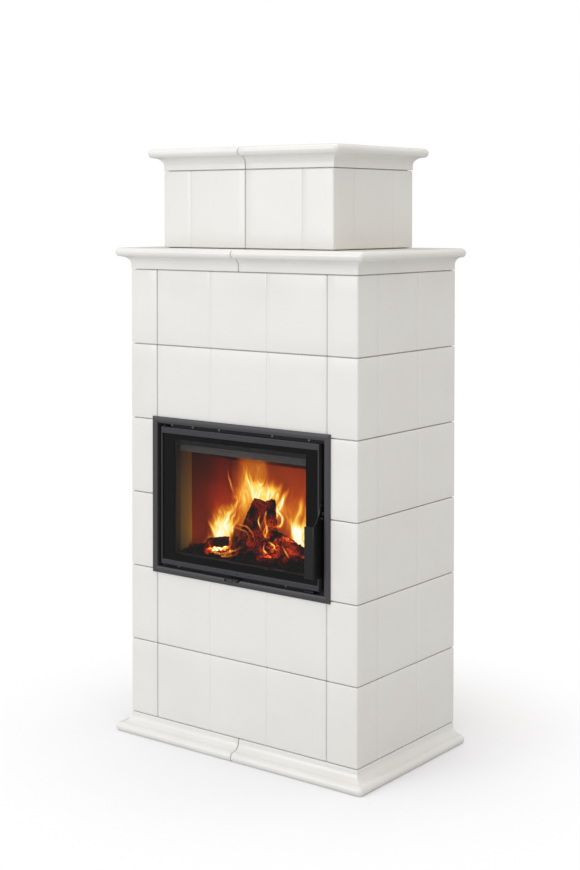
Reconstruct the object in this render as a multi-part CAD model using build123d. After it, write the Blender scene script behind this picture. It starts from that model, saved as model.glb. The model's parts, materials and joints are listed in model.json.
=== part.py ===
from build123d import *
import os
from math import cos, radians, sin, tan

# A tiled stove: glazed ceramic courses on a moulded plinth, a cornice, a crown box with its own
# cornice, and a steel heating insert with a glazed door in the third and fourth course.
# Frame: X to the right, Y to the back, Z up, in millimetres. The origin is on the floor, under the
# middle of the stove's outline, and the fire door looks along -Y.

# ---- tile grid and ceramic walls ----
TILE_WIDTH = 220.0        # one tile field
FIELDS_WIDE = 4.0         # tile fields across the front
FIELDS_DEEP = 2.5         # tile fields along each side
COURSE_PITCH = 240.0      # height of a course, with its joint
COURSE_COUNT = 6
DOOR_COURSES = (2, 3)     # courses, counted from 0 at the plinth, that the insert opens
WALL = 40.0               # ceramic wall
JOINT = 2.5               # open joint that shows between two courses
JOINT_DEPTH = 12.0        # how deep the open joint runs before the seat
UPRIGHT_JOINT = 1.0       # gap between two pieces of one course
CORNER_ROUND = 5.0        # upright corner of the body
EDGE_ROUND = 3.5          # rounded rim of a tile face
GROOVE_DEPTH = 3.0        # false joint pressed into a tile face
GROOVE_ROUND = 2.5        # rounded lips of that groove
GROOVE_HALF_WIDTH = 0.5

# ---- mouldings ----
OVERHANG = 40.0           # how far each nose stands out from the wall
PLINTH_HEIGHT = 60.0
PLINTH_FLAT = 8.0         # upright band over the cove
PLINTH_NOSE = 15.0        # radius of the nose
CORNICE_HEIGHT = 68.0
CORNICE_FLAT = 14.0
CORNICE_NOSE = 14.0
NOSE_PLAN_ROUND = 14.0    # corner of the noses, seen from above

# ---- crown box on the cornice ----
CROWN_FIELDS_WIDE = 3.0
CROWN_FIELDS_DEEP = 2.0
CROWN_HEIGHT = 242.0      # tile face, without its joint

# ---- slabs and rear boards ----
SLAB = 30.0               # thickness of the ceiling and crown slabs
SLAB_LEDGE = 20.0         # ledge of the cornice under a slab
SLAB_GAP = 0.5            # play round a slab
CEILING_HOLE_WIDTH = 300.0  # opening for warm air into the crown box
CEILING_HOLE_DEPTH = 160.0
REAR_BOARD = 30.0         # thickness of the rear boards
REAR_BOARD_COUNT = 3
REAR_GAP = 0.3            # play beside the rear boards

# ---- trim frame of the insert ----
TRIM_SIDE_LAP = 15.0      # over the upright joints beside it
TRIM_LAP = 10.0           # over the courses under and above it
TRIM_FACE = 20.0          # visible width of each member
TRIM_PROUD = 7.0          # how far the face stands in front of the tiles
TRIM_SHEET = 3.0
TRIM_CROWN = 2.0          # its face is arched by this much
TRIM_ROUND = 1.8          # rounded shoulders of the arch

# ---- insert body ----
PLATE = 6.0               # front plate
PLATE_SETBACK = 24.0      # trim face to the front plate
PLATE_MARGIN = 1.0        # the plate stands this far outside the trim opening
STEEL = 4.0               # body steel
FIRE_JAMB = 63.0          # trim opening to the fire opening, at the sides
FIRE_SILL = 50.0          # the same at the bottom
FIRE_HEAD = 64.0          # the same at the top
HEARTH = 30.0             # fireclay lining
FIRE_DEPTH = 282.0        # front plate to the back lining
JAMB_DEPTH = 70.0         # steel air channels beside the fire opening
BAFFLE = 25.0
BAFFLE_DROP = 82.0        # top of the fire opening to the underside of the baffle at the back
BAFFLE_TILT = 15.0        # degrees, rising to the front
BAFFLE_FRONT_GAP = 70.0   # smoke gap between the baffle and the front plate
BODY_INSET = 2.0          # trim opening to the top of the body
DEFLECTOR = 3.0           # air deflector over the glass
DEFLECTOR_DROP = 24.0     # how far it hangs below the fire opening's top
DEFLECTOR_RISE = 30.0
DEFLECTOR_LEDGE = 10.0    # its seat on the front plate

# ---- flue ----
FLUE_BORE = 150.0         # inside the flue pipe
FLUE_WALL = 2.0
FLUE_SOCKET_BORE = 152.0  # inside the rear socket
FLUE_RISE = 110.0         # upright pipe between the hood and the elbow
FLUE_BEND = 110.0         # bend radius of the elbow
FLUE_FORWARD = 70.0       # upright pipe's axis in front of the back lining
HOOD_HEIGHT = 70.0
SOCKET_LENGTH = 90.0
SOCKET_FLANGE = 14.0
SOCKET_FLANGE_THICKNESS = 3.0
BOARD_HOLE_GAP = 0.3

# ---- stand under the insert ----
STAND_INSET = 16.0        # stand inside the sides of the body
STAND_SETBACK = 76.0      # front plate to the stand
ANGLE_LEG = 40.0
ANGLE_THICKNESS = 4.0
STAND_CLEAR = 40.0        # lower rails above the floor
FOOT_RADIUS = 22.0
FOOT_THICKNESS = 8.0
FOOT_BOLT_RADIUS = 6.0

# ---- lintel over the insert ----
LINTEL = 5.0
LINTEL_RISE = 35.0
LINTEL_PLAY = 2.0

# ---- fire door ----
DOOR_GAP_SIDE = 18.0      # round the leaf, inside the trim frame
DOOR_GAP_LOW = 12.0
DOOR_GAP_TOP = 11.0
LEAF_DEPTH = 18.0
LEAF_RIM = 4.6            # thin side edges
TOP_RAIL = 19.0
BOTTOM_RAIL = 15.0
LEAF_ROUND = 1.5          # folded front edges of the rails and the side edges
GLASS = 4.0
GLASS_SETBACK = 5.0       # leaf face to the glass
GLASS_LAP = 8.0           # glass behind the rails
GLASS_PLAY = 0.4
RETAINER = 6.0
RETAINER_WIDTH = 29.0
GASKET_WIDTH = 12.0
GASKET_CLEARANCE = 0.3
GASKET_INSET = 3.0        # gasket outside the retainer's opening
SCREW_RADIUS = 4.0
SCREW_HEAD = 2.5
UPPER_SCREWS = (-280.0, -194.0, -88.0, 119.0, 256.0)
LOWER_SCREWS = (-252.0, 170.0)
RAIL_HOLE_RADIUS = 2.0
RAIL_HOLE_SPACING = 44.0
RAIL_HOLE_COUNT = 3

# ---- door hinge ----
HINGE_INSET = 9.0         # left edge of the leaf to the hinge axis
HINGE_SETBACK = 10.0      # leaf face to the hinge axis
HINGE_PIN = 4.0           # radius
HINGE_CLEARANCE = 0.05
HINGE_BRACKET = 4.0       # thickness of the brackets' ears
HINGE_EAR_RADIUS = 9.0
HINGE_GAP = 0.5           # between an ear and the leaf

# ---- handle ----
HANDLE_SHEET = 3.0
HANDLE_BEND = 2.8         # outer radius where the flange turns back into the web
HANDLE_PROUD = 33.0       # grip flange in front of the leaf face
HANDLE_GRIP_WIDTH = 32.0
HANDLE_GRIP_RISE = 41.0   # underside of the leaf to the grip
HANDLE_GRIP_LENGTH = 154.0
HANDLE_WEB_DEPTH = 45.0   # web, from the grip flange back
HANDLE_NECK = 59.0        # top of the grip to the pivot
HANDLE_BOSS = 9.0         # radius round the pivot
HANDLE_SIDE_GAP = 0.4     # between the leaf and the web
HANDLE_PIN = 3.5
HANDLE_PIN_CLEARANCE = 0.05
HANDLE_PIN_HEAD = 6.0
HANDLE_PIN_HEAD_THICKNESS = 2.5
HANDLE_ARC = 70.0         # radius of the hollow front edge of the arm
STUD_RADIUS = 4.0         # latch stud on the outside of the web
STUD_LENGTH = 8.0
STUD_DROP = 38.0          # under the pivot
KEEPER_GAP = 2.0          # between the stud and the keeper over it
KEEPER_HEIGHT = 14.0
KEEPER_WIDTH = 7.0
KEEPER_DEPTH = 18.0
KEEPER_SLOPE = 5.0

# ---- door rest under the latch side ----
REST_WIDTH = 34.0
REST_HEIGHT = 9.0
REST_INSET = 22.0         # from the latch side of the leaf
REST_GAP = 0.5

# ---- air lever: a flat tab that is pulled straight out ----
LEVER_X = -20.0
LEVER_WIDTH = 50.0
LEVER_SHEET = 3.0
LEVER_SIDE_PLAY = 5.0     # between the tab and the notch in the trim frame
LEVER_NOTCH_DROP = 8.0    # depth of that notch
LEVER_CLEARANCE = 0.8
LEVER_PROUD = 2.0         # tab's end in front of the trim
LEVER_LIP_WIDTH = 24.0
LEVER_LIP_HEIGHT = 8.0
LEVER_LIP_SHIFT = -6.0    # middle of the lip, from the middle of the tab
LEVER_TRAVEL = 35.0
SHUTTER_WIDTH = 170.0
SHUTTER_DEPTH = 30.0
SHUTTER_REST = 5.0        # pulled out, the shutter stays this far behind the front plate
SHUTTER_GAP = 1.0         # to the underside of the body
INLET_INSET = 4.0         # the air inlet is smaller than the shutter by this on each side
RUNNER_FLANGE = 8.0

# ---- places worked out from the sizes above ----
BODY_WIDTH = FIELDS_WIDE * TILE_WIDTH
BODY_DEPTH = FIELDS_DEEP * TILE_WIDTH
SIDE = BODY_WIDTH / 2
BACK = (BODY_DEPTH + OVERHANG) / 2
FRONT = BACK - BODY_DEPTH
FIRST_SEAT = PLINTH_HEIGHT + JOINT
BODY_SEAT = FIRST_SEAT + COURSE_COUNT * COURSE_PITCH
CORNICE_TOP = BODY_SEAT + CORNICE_HEIGHT
CROWN_LOW = CORNICE_TOP + JOINT
CROWN_SEAT = CROWN_LOW + CROWN_HEIGHT + JOINT
CROWN_TOP = CROWN_SEAT + CORNICE_HEIGHT
CROWN_WIDTH = CROWN_FIELDS_WIDE * TILE_WIDTH
CROWN_DEPTH = CROWN_FIELDS_DEEP * TILE_WIDTH
PANEL_HALF = SIDE - TILE_WIDTH / 2
TRIM_FRONT = FRONT - TRIM_PROUD
TRIM_HALF = PANEL_HALF + TRIM_SIDE_LAP
TRIM_LOW = FIRST_SEAT + DOOR_COURSES[0] * COURSE_PITCH - TRIM_LAP
TRIM_TOP = FIRST_SEAT + (DOOR_COURSES[-1] + 1) * COURSE_PITCH + TRIM_LAP
HOLE_HALF = TRIM_HALF - TRIM_FACE
HOLE_LOW = TRIM_LOW + TRIM_FACE
HOLE_TOP = TRIM_TOP - TRIM_FACE
PLATE_FRONT = TRIM_FRONT + PLATE_SETBACK
PLATE_BACK = PLATE_FRONT + PLATE
FIRE_HALF = HOLE_HALF - FIRE_JAMB
FIRE_LOW = HOLE_LOW + FIRE_SILL
FIRE_TOP = HOLE_TOP - FIRE_HEAD
BODY_TOP = HOLE_TOP - BODY_INSET
BAFFLE_BACK_LOW = FIRE_TOP - BAFFLE_DROP
LINING_BACK = PLATE_BACK + FIRE_DEPTH
FLUE_Y = LINING_BACK - FLUE_FORWARD
FLUE_HEIGHT = BODY_TOP + HOOD_HEIGHT + FLUE_RISE + FLUE_BEND
LEAF_HALF = HOLE_HALF - DOOR_GAP_SIDE
LEAF_LOW = HOLE_LOW + DOOR_GAP_LOW
LEAF_TOP = HOLE_TOP - DOOR_GAP_TOP
LEAF_FRONT = TRIM_FRONT
LEAF_BACK = LEAF_FRONT + LEAF_DEPTH
GLASS_FRONT = LEAF_FRONT + GLASS_SETBACK
GLASS_BACK = GLASS_FRONT + GLASS
RETAINER_FRONT = GLASS_BACK + GLASS_PLAY
RETAINER_BACK = RETAINER_FRONT + RETAINER
INNER_HALF = LEAF_HALF - LEAF_RIM
HINGE_X = HINGE_INSET - LEAF_HALF
HINGE_Y = LEAF_FRONT + HINGE_SETBACK
GRIP_FRONT = LEAF_FRONT - HANDLE_PROUD
WEB_LEFT = LEAF_HALF + HANDLE_SIDE_GAP
WEB_RIGHT = WEB_LEFT + HANDLE_SHEET
HANDLE_PIVOT_Y = GRIP_FRONT + HANDLE_WEB_DEPTH
HANDLE_GRIP_LOW = LEAF_LOW + HANDLE_GRIP_RISE
HANDLE_GRIP_TOP = HANDLE_GRIP_LOW + HANDLE_GRIP_LENGTH
HANDLE_PIVOT_Z = HANDLE_GRIP_TOP + HANDLE_NECK
REST_RIGHT = LEAF_HALF - REST_INSET
STAND_WIDTH = 2 * (FIRE_HALF + HEARTH + STEEL - STAND_INSET)
LEVER_LOW = HOLE_LOW - LEVER_SHEET / 2
LEVER_HIGH = LEVER_LOW + LEVER_SHEET
BODY_LOW = LEVER_HIGH + SHUTTER_GAP
BODY_BACK = LINING_BACK + HEARTH + STEEL
SHUTTER_FRONT = PLATE_BACK + SHUTTER_REST + LEVER_TRAVEL
STAND_FRONT = PLATE_BACK + STAND_SETBACK


def block(x0, x1, y0, y1, z0, z1):
    """A box given by its faces' places."""
    return Pos((x0 + x1) / 2, (y0 + y1) / 2, (z0 + z1) / 2) * Box(x1 - x0, y1 - y0, z1 - z0)


def upright(points, z0, z1):
    """A prism over a plan outline."""
    return Pos(0, 0, z0) * extrude(make_face(Polyline(*points, close=True)), z1 - z0, dir=(0, 0, 1))


def rod(x, y, z0, z1, radius):
    """An upright round bar."""
    return Pos(x, y, (z0 + z1) / 2) * Cylinder(radius, z1 - z0)


def bar_x(x0, x1, y, z, radius):
    """A round bar along X."""
    return Pos((x0 + x1) / 2, y, z) * Rot(0, 90, 0) * Cylinder(radius, x1 - x0)


def bar_y(x, y0, y1, z, radius):
    """A round bar along Y."""
    return Pos(x, (y0 + y1) / 2, z) * Rot(90, 0, 0) * Cylinder(radius, y1 - y0)


def mirrored(part):
    """The left-hand twin of a right-hand part."""
    return mirror(part, Plane.YZ)


# ---- ceramic pieces ----

def groove(x, y, turn, z0, z1):
    """An upright false joint: two rounded lips and a narrow slot, cut into the face at x, y."""
    lip = GROOVE_HALF_WIDTH + GROOVE_ROUND
    proud = 1.0
    outline = [
        Line((-lip, -proud), (-lip, 0)),
        RadiusArc((-lip, 0), (-GROOVE_HALF_WIDTH, GROOVE_ROUND), GROOVE_ROUND),
        Line((-GROOVE_HALF_WIDTH, GROOVE_ROUND), (-GROOVE_HALF_WIDTH, GROOVE_DEPTH)),
        Line((-GROOVE_HALF_WIDTH, GROOVE_DEPTH), (GROOVE_HALF_WIDTH, GROOVE_DEPTH)),
        Line((GROOVE_HALF_WIDTH, GROOVE_DEPTH), (GROOVE_HALF_WIDTH, GROOVE_ROUND)),
        RadiusArc((GROOVE_HALF_WIDTH, GROOVE_ROUND), (lip, 0), GROOVE_ROUND),
        Line((lip, 0), (lip, -proud)),
        Line((lip, -proud), (-lip, -proud)),
    ]
    tool = extrude(make_face(outline), z1 - z0, dir=(0, 0, 1))
    return Pos(x, y, z0) * Rot(0, 0, turn) * tool


def face_rim(part, z, outer_x, outer_y):
    """The edges at height z that lie on the outer faces of a wall piece."""
    near = CORNER_ROUND / 2
    return [
        edge for edge in part.edges()
        if abs(edge.center().Z - z) < GROOVE_HALF_WIDTH
        and abs(edge.bounding_box().size.Z) < GROOVE_HALF_WIDTH
        and (
            any(abs(edge.center().X - x) < near for x in outer_x)
            or any(abs(edge.center().Y - y) < near for y in outer_y)
        )
    ]


def wall_piece(outline, seat_outline, corners, outer_x, outer_y, grooves, low, height):
    """A glazed wall piece with rounded rims, false joints and a raised seat behind the open joint."""
    tile = upright(outline, low, low + height)
    if corners:
        tile = fillet([e for e in tile.edges().filter_by(Axis.Z) if is_at(e, corners)], CORNER_ROUND)
    rim = face_rim(tile, low, outer_x, outer_y) + face_rim(tile, low + height, outer_x, outer_y)
    tile = fillet(rim, EDGE_ROUND)
    for x, y, turn in grooves:
        tile -= groove(x, y, turn, low, low + height)
    return tile + upright(seat_outline, low, low + height + JOINT)


def is_at(edge, places):
    """Whether an upright edge stands at one of the plan places."""
    spot = edge.center()
    return any(abs(spot.X - x) + abs(spot.Y - y) < JOINT / 2 for x, y in places)


def side_grooves(first, last):
    """Places of the false joints on the right-hand wall, from a first to a last one."""
    return [(SIDE, first, 90), (SIDE, last, 90)]


def corner_piece(low):
    """An L-shaped piece: half a tile of the front and the whole right-hand side."""
    joint = PANEL_HALF + UPRIGHT_JOINT / 2
    inner = FRONT + WALL
    outline = [
        (joint, FRONT), (SIDE, FRONT), (SIDE, BACK),
        (SIDE - WALL, BACK), (SIDE - WALL, inner), (joint, inner),
    ]
    seat = [
        (joint, FRONT + JOINT_DEPTH), (SIDE - JOINT_DEPTH, FRONT + JOINT_DEPTH), (SIDE - JOINT_DEPTH, BACK),
        (SIDE - WALL, BACK), (SIDE - WALL, inner), (joint, inner),
    ]
    grooves = side_grooves(FRONT + TILE_WIDTH / 2, FRONT + TILE_WIDTH * 3 / 2)
    grooves.append((PANEL_HALF, FRONT, 0))
    return wall_piece(outline, seat, [(SIDE, FRONT)], [SIDE], [FRONT], grooves, low, COURSE_PITCH - JOINT)


def front_panel(low):
    """Three tile fields of the front in one flat piece, between two corner pieces."""
    edge = PANEL_HALF - UPRIGHT_JOINT / 2
    inner = FRONT + WALL
    outline = [(-edge, FRONT), (edge, FRONT), (edge, inner), (-edge, inner)]
    seat_front = FRONT + JOINT_DEPTH
    seat = [(-edge, seat_front), (edge, seat_front), (edge, inner), (-edge, inner)]
    places = (-PANEL_HALF, -TILE_WIDTH / 2, TILE_WIDTH / 2, PANEL_HALF)
    grooves = [(x, FRONT, 0) for x in places]
    return wall_piece(outline, seat, [], [], [FRONT], grooves, low, COURSE_PITCH - JOINT)


def crown_half():
    """The right-hand half of the crown box: half the front, one side and half the back."""
    half = CROWN_WIDTH / 2
    deep = CROWN_DEPTH / 2
    joint = UPRIGHT_JOINT / 2
    outline = [
        (joint, -deep), (half, -deep), (half, deep), (joint, deep),
        (joint, deep - WALL), (half - WALL, deep - WALL), (half - WALL, WALL - deep), (joint, WALL - deep),
    ]
    seat_half = half - JOINT_DEPTH
    seat_deep = deep - JOINT_DEPTH
    seat = [
        (joint, -seat_deep), (seat_half, -seat_deep), (seat_half, seat_deep), (joint, seat_deep),
        (joint, deep - WALL), (half - WALL, deep - WALL), (half - WALL, WALL - deep), (joint, WALL - deep),
    ]
    field = TILE_WIDTH / 2
    grooves = [
        (0, -deep, 0), (half - field, -deep, 0),
        (half, field - deep, 90), (half, deep - field, 90),
        (half - field, deep, 180), (0, deep, 180),
    ]
    corners = [(half, -deep), (half, deep)]
    return wall_piece(outline, seat, corners, [half], [-deep, deep], grooves, CROWN_LOW, CROWN_HEIGHT)


# ---- mouldings ----

def cornice_section():
    """Flat band, hollow cove and round nose, from the wall face outwards, with a ledge for a slab."""
    cove = OVERHANG - CORNICE_NOSE
    crease = CORNICE_FLAT + cove
    return [
        Line((-WALL, 0), (0, 0)),
        Line((0, 0), (0, CORNICE_FLAT)),
        RadiusArc((0, CORNICE_FLAT), (cove, crease), cove),
        RadiusArc((cove, crease), (OVERHANG, crease + CORNICE_NOSE), -CORNICE_NOSE),
        RadiusArc((OVERHANG, crease + CORNICE_NOSE), (cove, CORNICE_HEIGHT), -CORNICE_NOSE),
        Line((cove, CORNICE_HEIGHT), (-SLAB_LEDGE, CORNICE_HEIGHT)),
        Line((-SLAB_LEDGE, CORNICE_HEIGHT), (-SLAB_LEDGE, CORNICE_HEIGHT - SLAB)),
        Line((-SLAB_LEDGE, CORNICE_HEIGHT - SLAB), (-WALL, CORNICE_HEIGHT - SLAB)),
        Line((-WALL, CORNICE_HEIGHT - SLAB), (-WALL, 0)),
    ]


def plinth_section():
    """The same curve turned over: a nose on the floor, a cove and a flat band under the first course."""
    cove = OVERHANG - PLINTH_NOSE
    crease = PLINTH_HEIGHT - PLINTH_FLAT - cove
    nose_z = crease - PLINTH_NOSE
    floor_reach = cove + (PLINTH_NOSE ** 2 - nose_z ** 2) ** 0.5
    return [
        Line((-WALL, 0), (floor_reach, 0)),
        RadiusArc((floor_reach, 0), (OVERHANG, nose_z), -PLINTH_NOSE),
        RadiusArc((OVERHANG, nose_z), (cove, crease), -PLINTH_NOSE),
        RadiusArc((cove, crease), (0, PLINTH_HEIGHT - PLINTH_FLAT), cove),
        Line((0, PLINTH_HEIGHT - PLINTH_FLAT), (0, PLINTH_HEIGHT)),
        Line((0, PLINTH_HEIGHT), (-JOINT_DEPTH, PLINTH_HEIGHT)),
        Line((-JOINT_DEPTH, PLINTH_HEIGHT), (-JOINT_DEPTH, FIRST_SEAT)),
        Line((-JOINT_DEPTH, FIRST_SEAT), (-WALL, FIRST_SEAT)),
        Line((-WALL, FIRST_SEAT), (-WALL, 0)),
    ]


def moulding(section, path, low):
    """A mitred run of a moulding: the section carried along a plan path, outward to the right of it."""
    x, y = path[0]
    start = Plane(origin=(x, y, low), x_dir=(0, -1, 0), z_dir=(-1, 0, 0))
    face = start * make_face(section)
    route = Polyline(*[(px, py, low) for px, py in path])
    return sweep(face, path=route, transition=Transition.RIGHT)


def rounded_plan(half_width, front, back, low, high, corners):
    """A tall prism whose outer corners are rounded in plan, to trim the mitred noses."""
    plan = upright([(0, front), (half_width, front), (half_width, back), (0, back)], low, high)
    return fillet([e for e in plan.edges().filter_by(Axis.Z) if is_at(e, corners)], NOSE_PLAN_ROUND)


def body_moulding(section, low, height):
    """The right-hand half of a moulding round the body's front and side, flush at the back."""
    path = [(UPRIGHT_JOINT / 2, FRONT), (SIDE, FRONT), (SIDE, BACK)]
    reach = SIDE + OVERHANG
    nose = FRONT - OVERHANG
    return moulding(section, path, low) & rounded_plan(reach, nose, BACK, low, low + height, [(reach, nose)])


def crown_moulding(low):
    """The right-hand half of the crown's cornice, on all its sides."""
    half = CROWN_WIDTH / 2
    deep = CROWN_DEPTH / 2
    path = [(UPRIGHT_JOINT / 2, -deep), (half, -deep), (half, deep), (UPRIGHT_JOINT / 2, deep)]
    reach = half + OVERHANG
    nose = deep + OVERHANG
    corners = [(reach, -nose), (reach, nose)]
    return moulding(cornice_section(), path, low) & rounded_plan(reach, -nose, nose, low, low + CORNICE_HEIGHT, corners)


# ---- slabs, boards and lintel ----

def ceiling_slab():
    """The slab inside the main cornice, with a raised seat for the crown box."""
    edge = SIDE - SLAB_LEDGE - SLAB_GAP
    low = CORNICE_TOP - SLAB
    slab = block(-edge, edge, FRONT + SLAB_LEDGE + SLAB_GAP, BACK, low, CORNICE_TOP)
    seat_half = CROWN_WIDTH / 2 - JOINT_DEPTH
    seat_deep = CROWN_DEPTH / 2 - JOINT_DEPTH
    slab += block(-seat_half, seat_half, -seat_deep, seat_deep, low, CROWN_LOW)
    half = CEILING_HOLE_WIDTH / 2
    deep = CEILING_HOLE_DEPTH / 2
    return slab - block(-half, half, -deep, deep, low - 1, CROWN_LOW + 1)


def crown_slab():
    """The slab that closes the crown box inside its cornice."""
    half = CROWN_WIDTH / 2 - SLAB_LEDGE - SLAB_GAP
    deep = CROWN_DEPTH / 2 - SLAB_LEDGE - SLAB_GAP
    return block(-half, half, -deep, deep, CROWN_TOP - SLAB, CROWN_TOP)


def rear_board(index):
    """One of the insulating boards between the side walls, with the hole for the flue socket."""
    edge = SIDE - WALL - REAR_GAP
    pitch = (CORNICE_TOP - SLAB) / REAR_BOARD_COUNT
    board = block(-edge, edge, BACK - REAR_BOARD, BACK, index * pitch, (index + 1) * pitch)
    hole_radius = FLUE_SOCKET_BORE / 2 + FLUE_WALL + BOARD_HOLE_GAP
    return board - bar_y(0, BACK - 2 * REAR_BOARD, BACK + REAR_BOARD, FLUE_HEIGHT, hole_radius)


def lintel():
    """An angle behind the front wall that carries the panels over the insert."""
    seat = TRIM_TOP - TRIM_LAP
    inner = FRONT + WALL
    reach = SIDE - WALL - LINTEL_PLAY
    web = block(-reach, reach, inner, inner + LINTEL, seat - LINTEL, seat + LINTEL_RISE)
    flange_half = PANEL_HALF - LINTEL_PLAY
    return web + block(-flange_half, flange_half, FRONT + JOINT_DEPTH, inner, seat - LINTEL, seat)


# ---- insert: trim frame and body ----

def ring(half, low, high, inset, y0, y1):
    """An upright rectangular ring, its members inset wide."""
    outer = block(-half, half, y0, y1, low, high)
    return outer - block(inset - half, half - inset, y0 - 1, y1 + 1, low + inset, high - inset)


def trim_section():
    """Section of the trim's face, from the hole outwards: an arch with rounded shoulders over the tiles."""
    face = -TRIM_FRONT
    shoulder = face - TRIM_CROWN
    outline = make_face([
        Line((0, -FRONT), (0, shoulder)),
        ThreePointArc((0, shoulder), (TRIM_FACE / 2, face), (TRIM_FACE, shoulder)),
        Line((TRIM_FACE, shoulder), (TRIM_FACE, -FRONT)),
        Line((TRIM_FACE, -FRONT), (0, -FRONT)),
    ])
    return fillet([v for v in outline.vertices() if v.Y > -FRONT + 1], TRIM_ROUND)


def trim_half():
    """The right-hand half of the trim's face, mitred at its corners."""
    start = Plane(origin=(0, 0, HOLE_TOP), x_dir=(0, 0, 1), z_dir=(1, 0, 0))
    route = Polyline((0, 0, HOLE_TOP), (HOLE_HALF, 0, HOLE_TOP), (HOLE_HALF, 0, HOLE_LOW), (0, 0, HOLE_LOW))
    return sweep(start * trim_section(), path=route, transition=Transition.RIGHT)


def trim_frame():
    """A sheet-metal frame: an arched face with mitred corners and a flange back to the front plate."""
    right = trim_half()
    hollow = ring(
        TRIM_HALF - TRIM_SHEET, TRIM_LOW + TRIM_SHEET, TRIM_TOP - TRIM_SHEET,
        TRIM_FACE - 2 * TRIM_SHEET, TRIM_FRONT + TRIM_SHEET, FRONT + 1,
    )
    flange = ring(
        HOLE_HALF + TRIM_SHEET, HOLE_LOW - TRIM_SHEET, HOLE_TOP + TRIM_SHEET,
        TRIM_SHEET, TRIM_FRONT + TRIM_SHEET, PLATE_FRONT,
    )
    notch = LEVER_WIDTH / 2 + LEVER_SIDE_PLAY
    frame = right + mirrored(right) - hollow + flange
    return frame - block(
        LEVER_X - notch, LEVER_X + notch, TRIM_FRONT - 1, PLATE_FRONT + 1, HOLE_LOW - LEVER_NOTCH_DROP, HOLE_TOP - 1,
    )


def plate_edges():
    """Half width, underside and top of the front plate."""
    margin = PLATE_MARGIN + TRIM_SHEET
    return HOLE_HALF + margin, HOLE_LOW - margin, HOLE_TOP + margin


def front_plate():
    """The plate that carries the door, with the fire opening and the slot of the air lever."""
    half, low, high = plate_edges()
    plate = block(-half, half, PLATE_FRONT, PLATE_BACK, low, high)
    plate -= block(-FIRE_HALF, FIRE_HALF, PLATE_FRONT - 1, PLATE_BACK + 1, FIRE_LOW, FIRE_TOP)
    slot = LEVER_WIDTH / 2 + LEVER_CLEARANCE
    return plate - block(
        LEVER_X - slot, LEVER_X + slot, PLATE_FRONT - 1, PLATE_BACK + 1, low - 1, LEVER_HIGH + LEVER_CLEARANCE,
    )


def body_shell():
    """The welded steel box round the lining, open to the front plate, with the smoke hole in its top."""
    inner = FIRE_HALF + HEARTH
    back = LINING_BACK + HEARTH
    shell = block(-inner - STEEL, inner + STEEL, PLATE_BACK, back + STEEL, BODY_LOW, BODY_TOP)
    shell -= block(-inner, inner, PLATE_BACK - 1, back, BODY_LOW + STEEL, BODY_TOP - STEEL)
    half, deep = hood_foot()
    shell -= block(-half, half, FLUE_Y - deep, FLUE_Y + deep, BODY_TOP - 2 * STEEL, BODY_TOP + STEEL)
    inlet = SHUTTER_WIDTH / 2 - INLET_INSET
    return shell - block(
        LEVER_X - inlet, LEVER_X + inlet, SHUTTER_FRONT + INLET_INSET, SHUTTER_FRONT + SHUTTER_DEPTH - INLET_INSET,
        BODY_LOW - 1, BODY_LOW + 2 * STEEL,
    )


def hood_foot():
    """Half width and half depth of the smoke hole."""
    return FLUE_BORE, FLUE_BORE / 2


def smoke_hood():
    """A tapering hood from the smoke hole to the round flue collar."""
    half, deep = hood_foot()
    foot = Pos(0, FLUE_Y, BODY_TOP)
    neck = Pos(0, FLUE_Y, BODY_TOP + HOOD_HEIGHT)
    radius = FLUE_BORE / 2
    outer = loft([
        foot * Rectangle(2 * (half + STEEL), 2 * (deep + STEEL)).face(),
        neck * Circle(radius + STEEL).face(),
    ])
    inner = loft([foot * Rectangle(2 * half, 2 * deep).face(), neck * Circle(radius).face()])
    return outer - inner


def hearth_floor():
    """The fireclay slab under the fire, with a hole under each air channel."""
    inner = FIRE_HALF + HEARTH
    slab = block(-inner, inner, PLATE_BACK, LINING_BACK + HEARTH, FIRE_LOW - HEARTH, FIRE_LOW)
    hole = block(
        FIRE_HALF + TRIM_SHEET, inner - TRIM_SHEET, PLATE_BACK + TRIM_SHEET, PLATE_BACK + JAMB_DEPTH - TRIM_SHEET,
        FIRE_LOW - HEARTH - 1, FIRE_LOW + 1,
    )
    return slab - hole - mirrored(hole)


def hearth_bed():
    """The steel bearers that hold the hearth slab over the body's floor."""
    inner = FIRE_HALF + HEARTH
    low = BODY_LOW + STEEL
    high = FIRE_LOW - HEARTH
    bearer = block(-inner, -FIRE_HALF, PLATE_BACK + JAMB_DEPTH, LINING_BACK + HEARTH, low, high)
    return Compound(children=[bearer, mirrored(bearer)])


def back_lining():
    """The upright fireclay slab behind the fire."""
    inner = FIRE_HALF + HEARTH
    return block(-inner, inner, LINING_BACK, LINING_BACK + HEARTH, FIRE_LOW, BODY_TOP - STEEL - HEARTH)


def baffle_section(low_lift, high_lift):
    """Side outline of the baffle, tilted up to the front: the Y and Z of its corners."""
    slope = tan(radians(BAFFLE_TILT))
    front = PLATE_BACK + BAFFLE_FRONT_GAP
    rise = (LINING_BACK - front) * slope
    low = BAFFLE_BACK_LOW
    return [
        (LINING_BACK, low + low_lift), (front, low + rise + low_lift),
        (front, low + rise + high_lift), (LINING_BACK, low + high_lift),
    ]


def side_prism(outline, x0, x1):
    """A prism along X over an outline in Y and Z."""
    plane = Plane(origin=(x0, 0, 0), x_dir=(0, 1, 0), z_dir=(1, 0, 0))
    return extrude(plane * make_face(Polyline(*outline, close=True)), x1 - x0, dir=(1, 0, 0))


def baffle():
    """The vermiculite plate over the fire, lying on the side linings."""
    inner = FIRE_HALF + HEARTH
    return side_prism(baffle_section(0, BAFFLE), -inner, inner)


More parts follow.
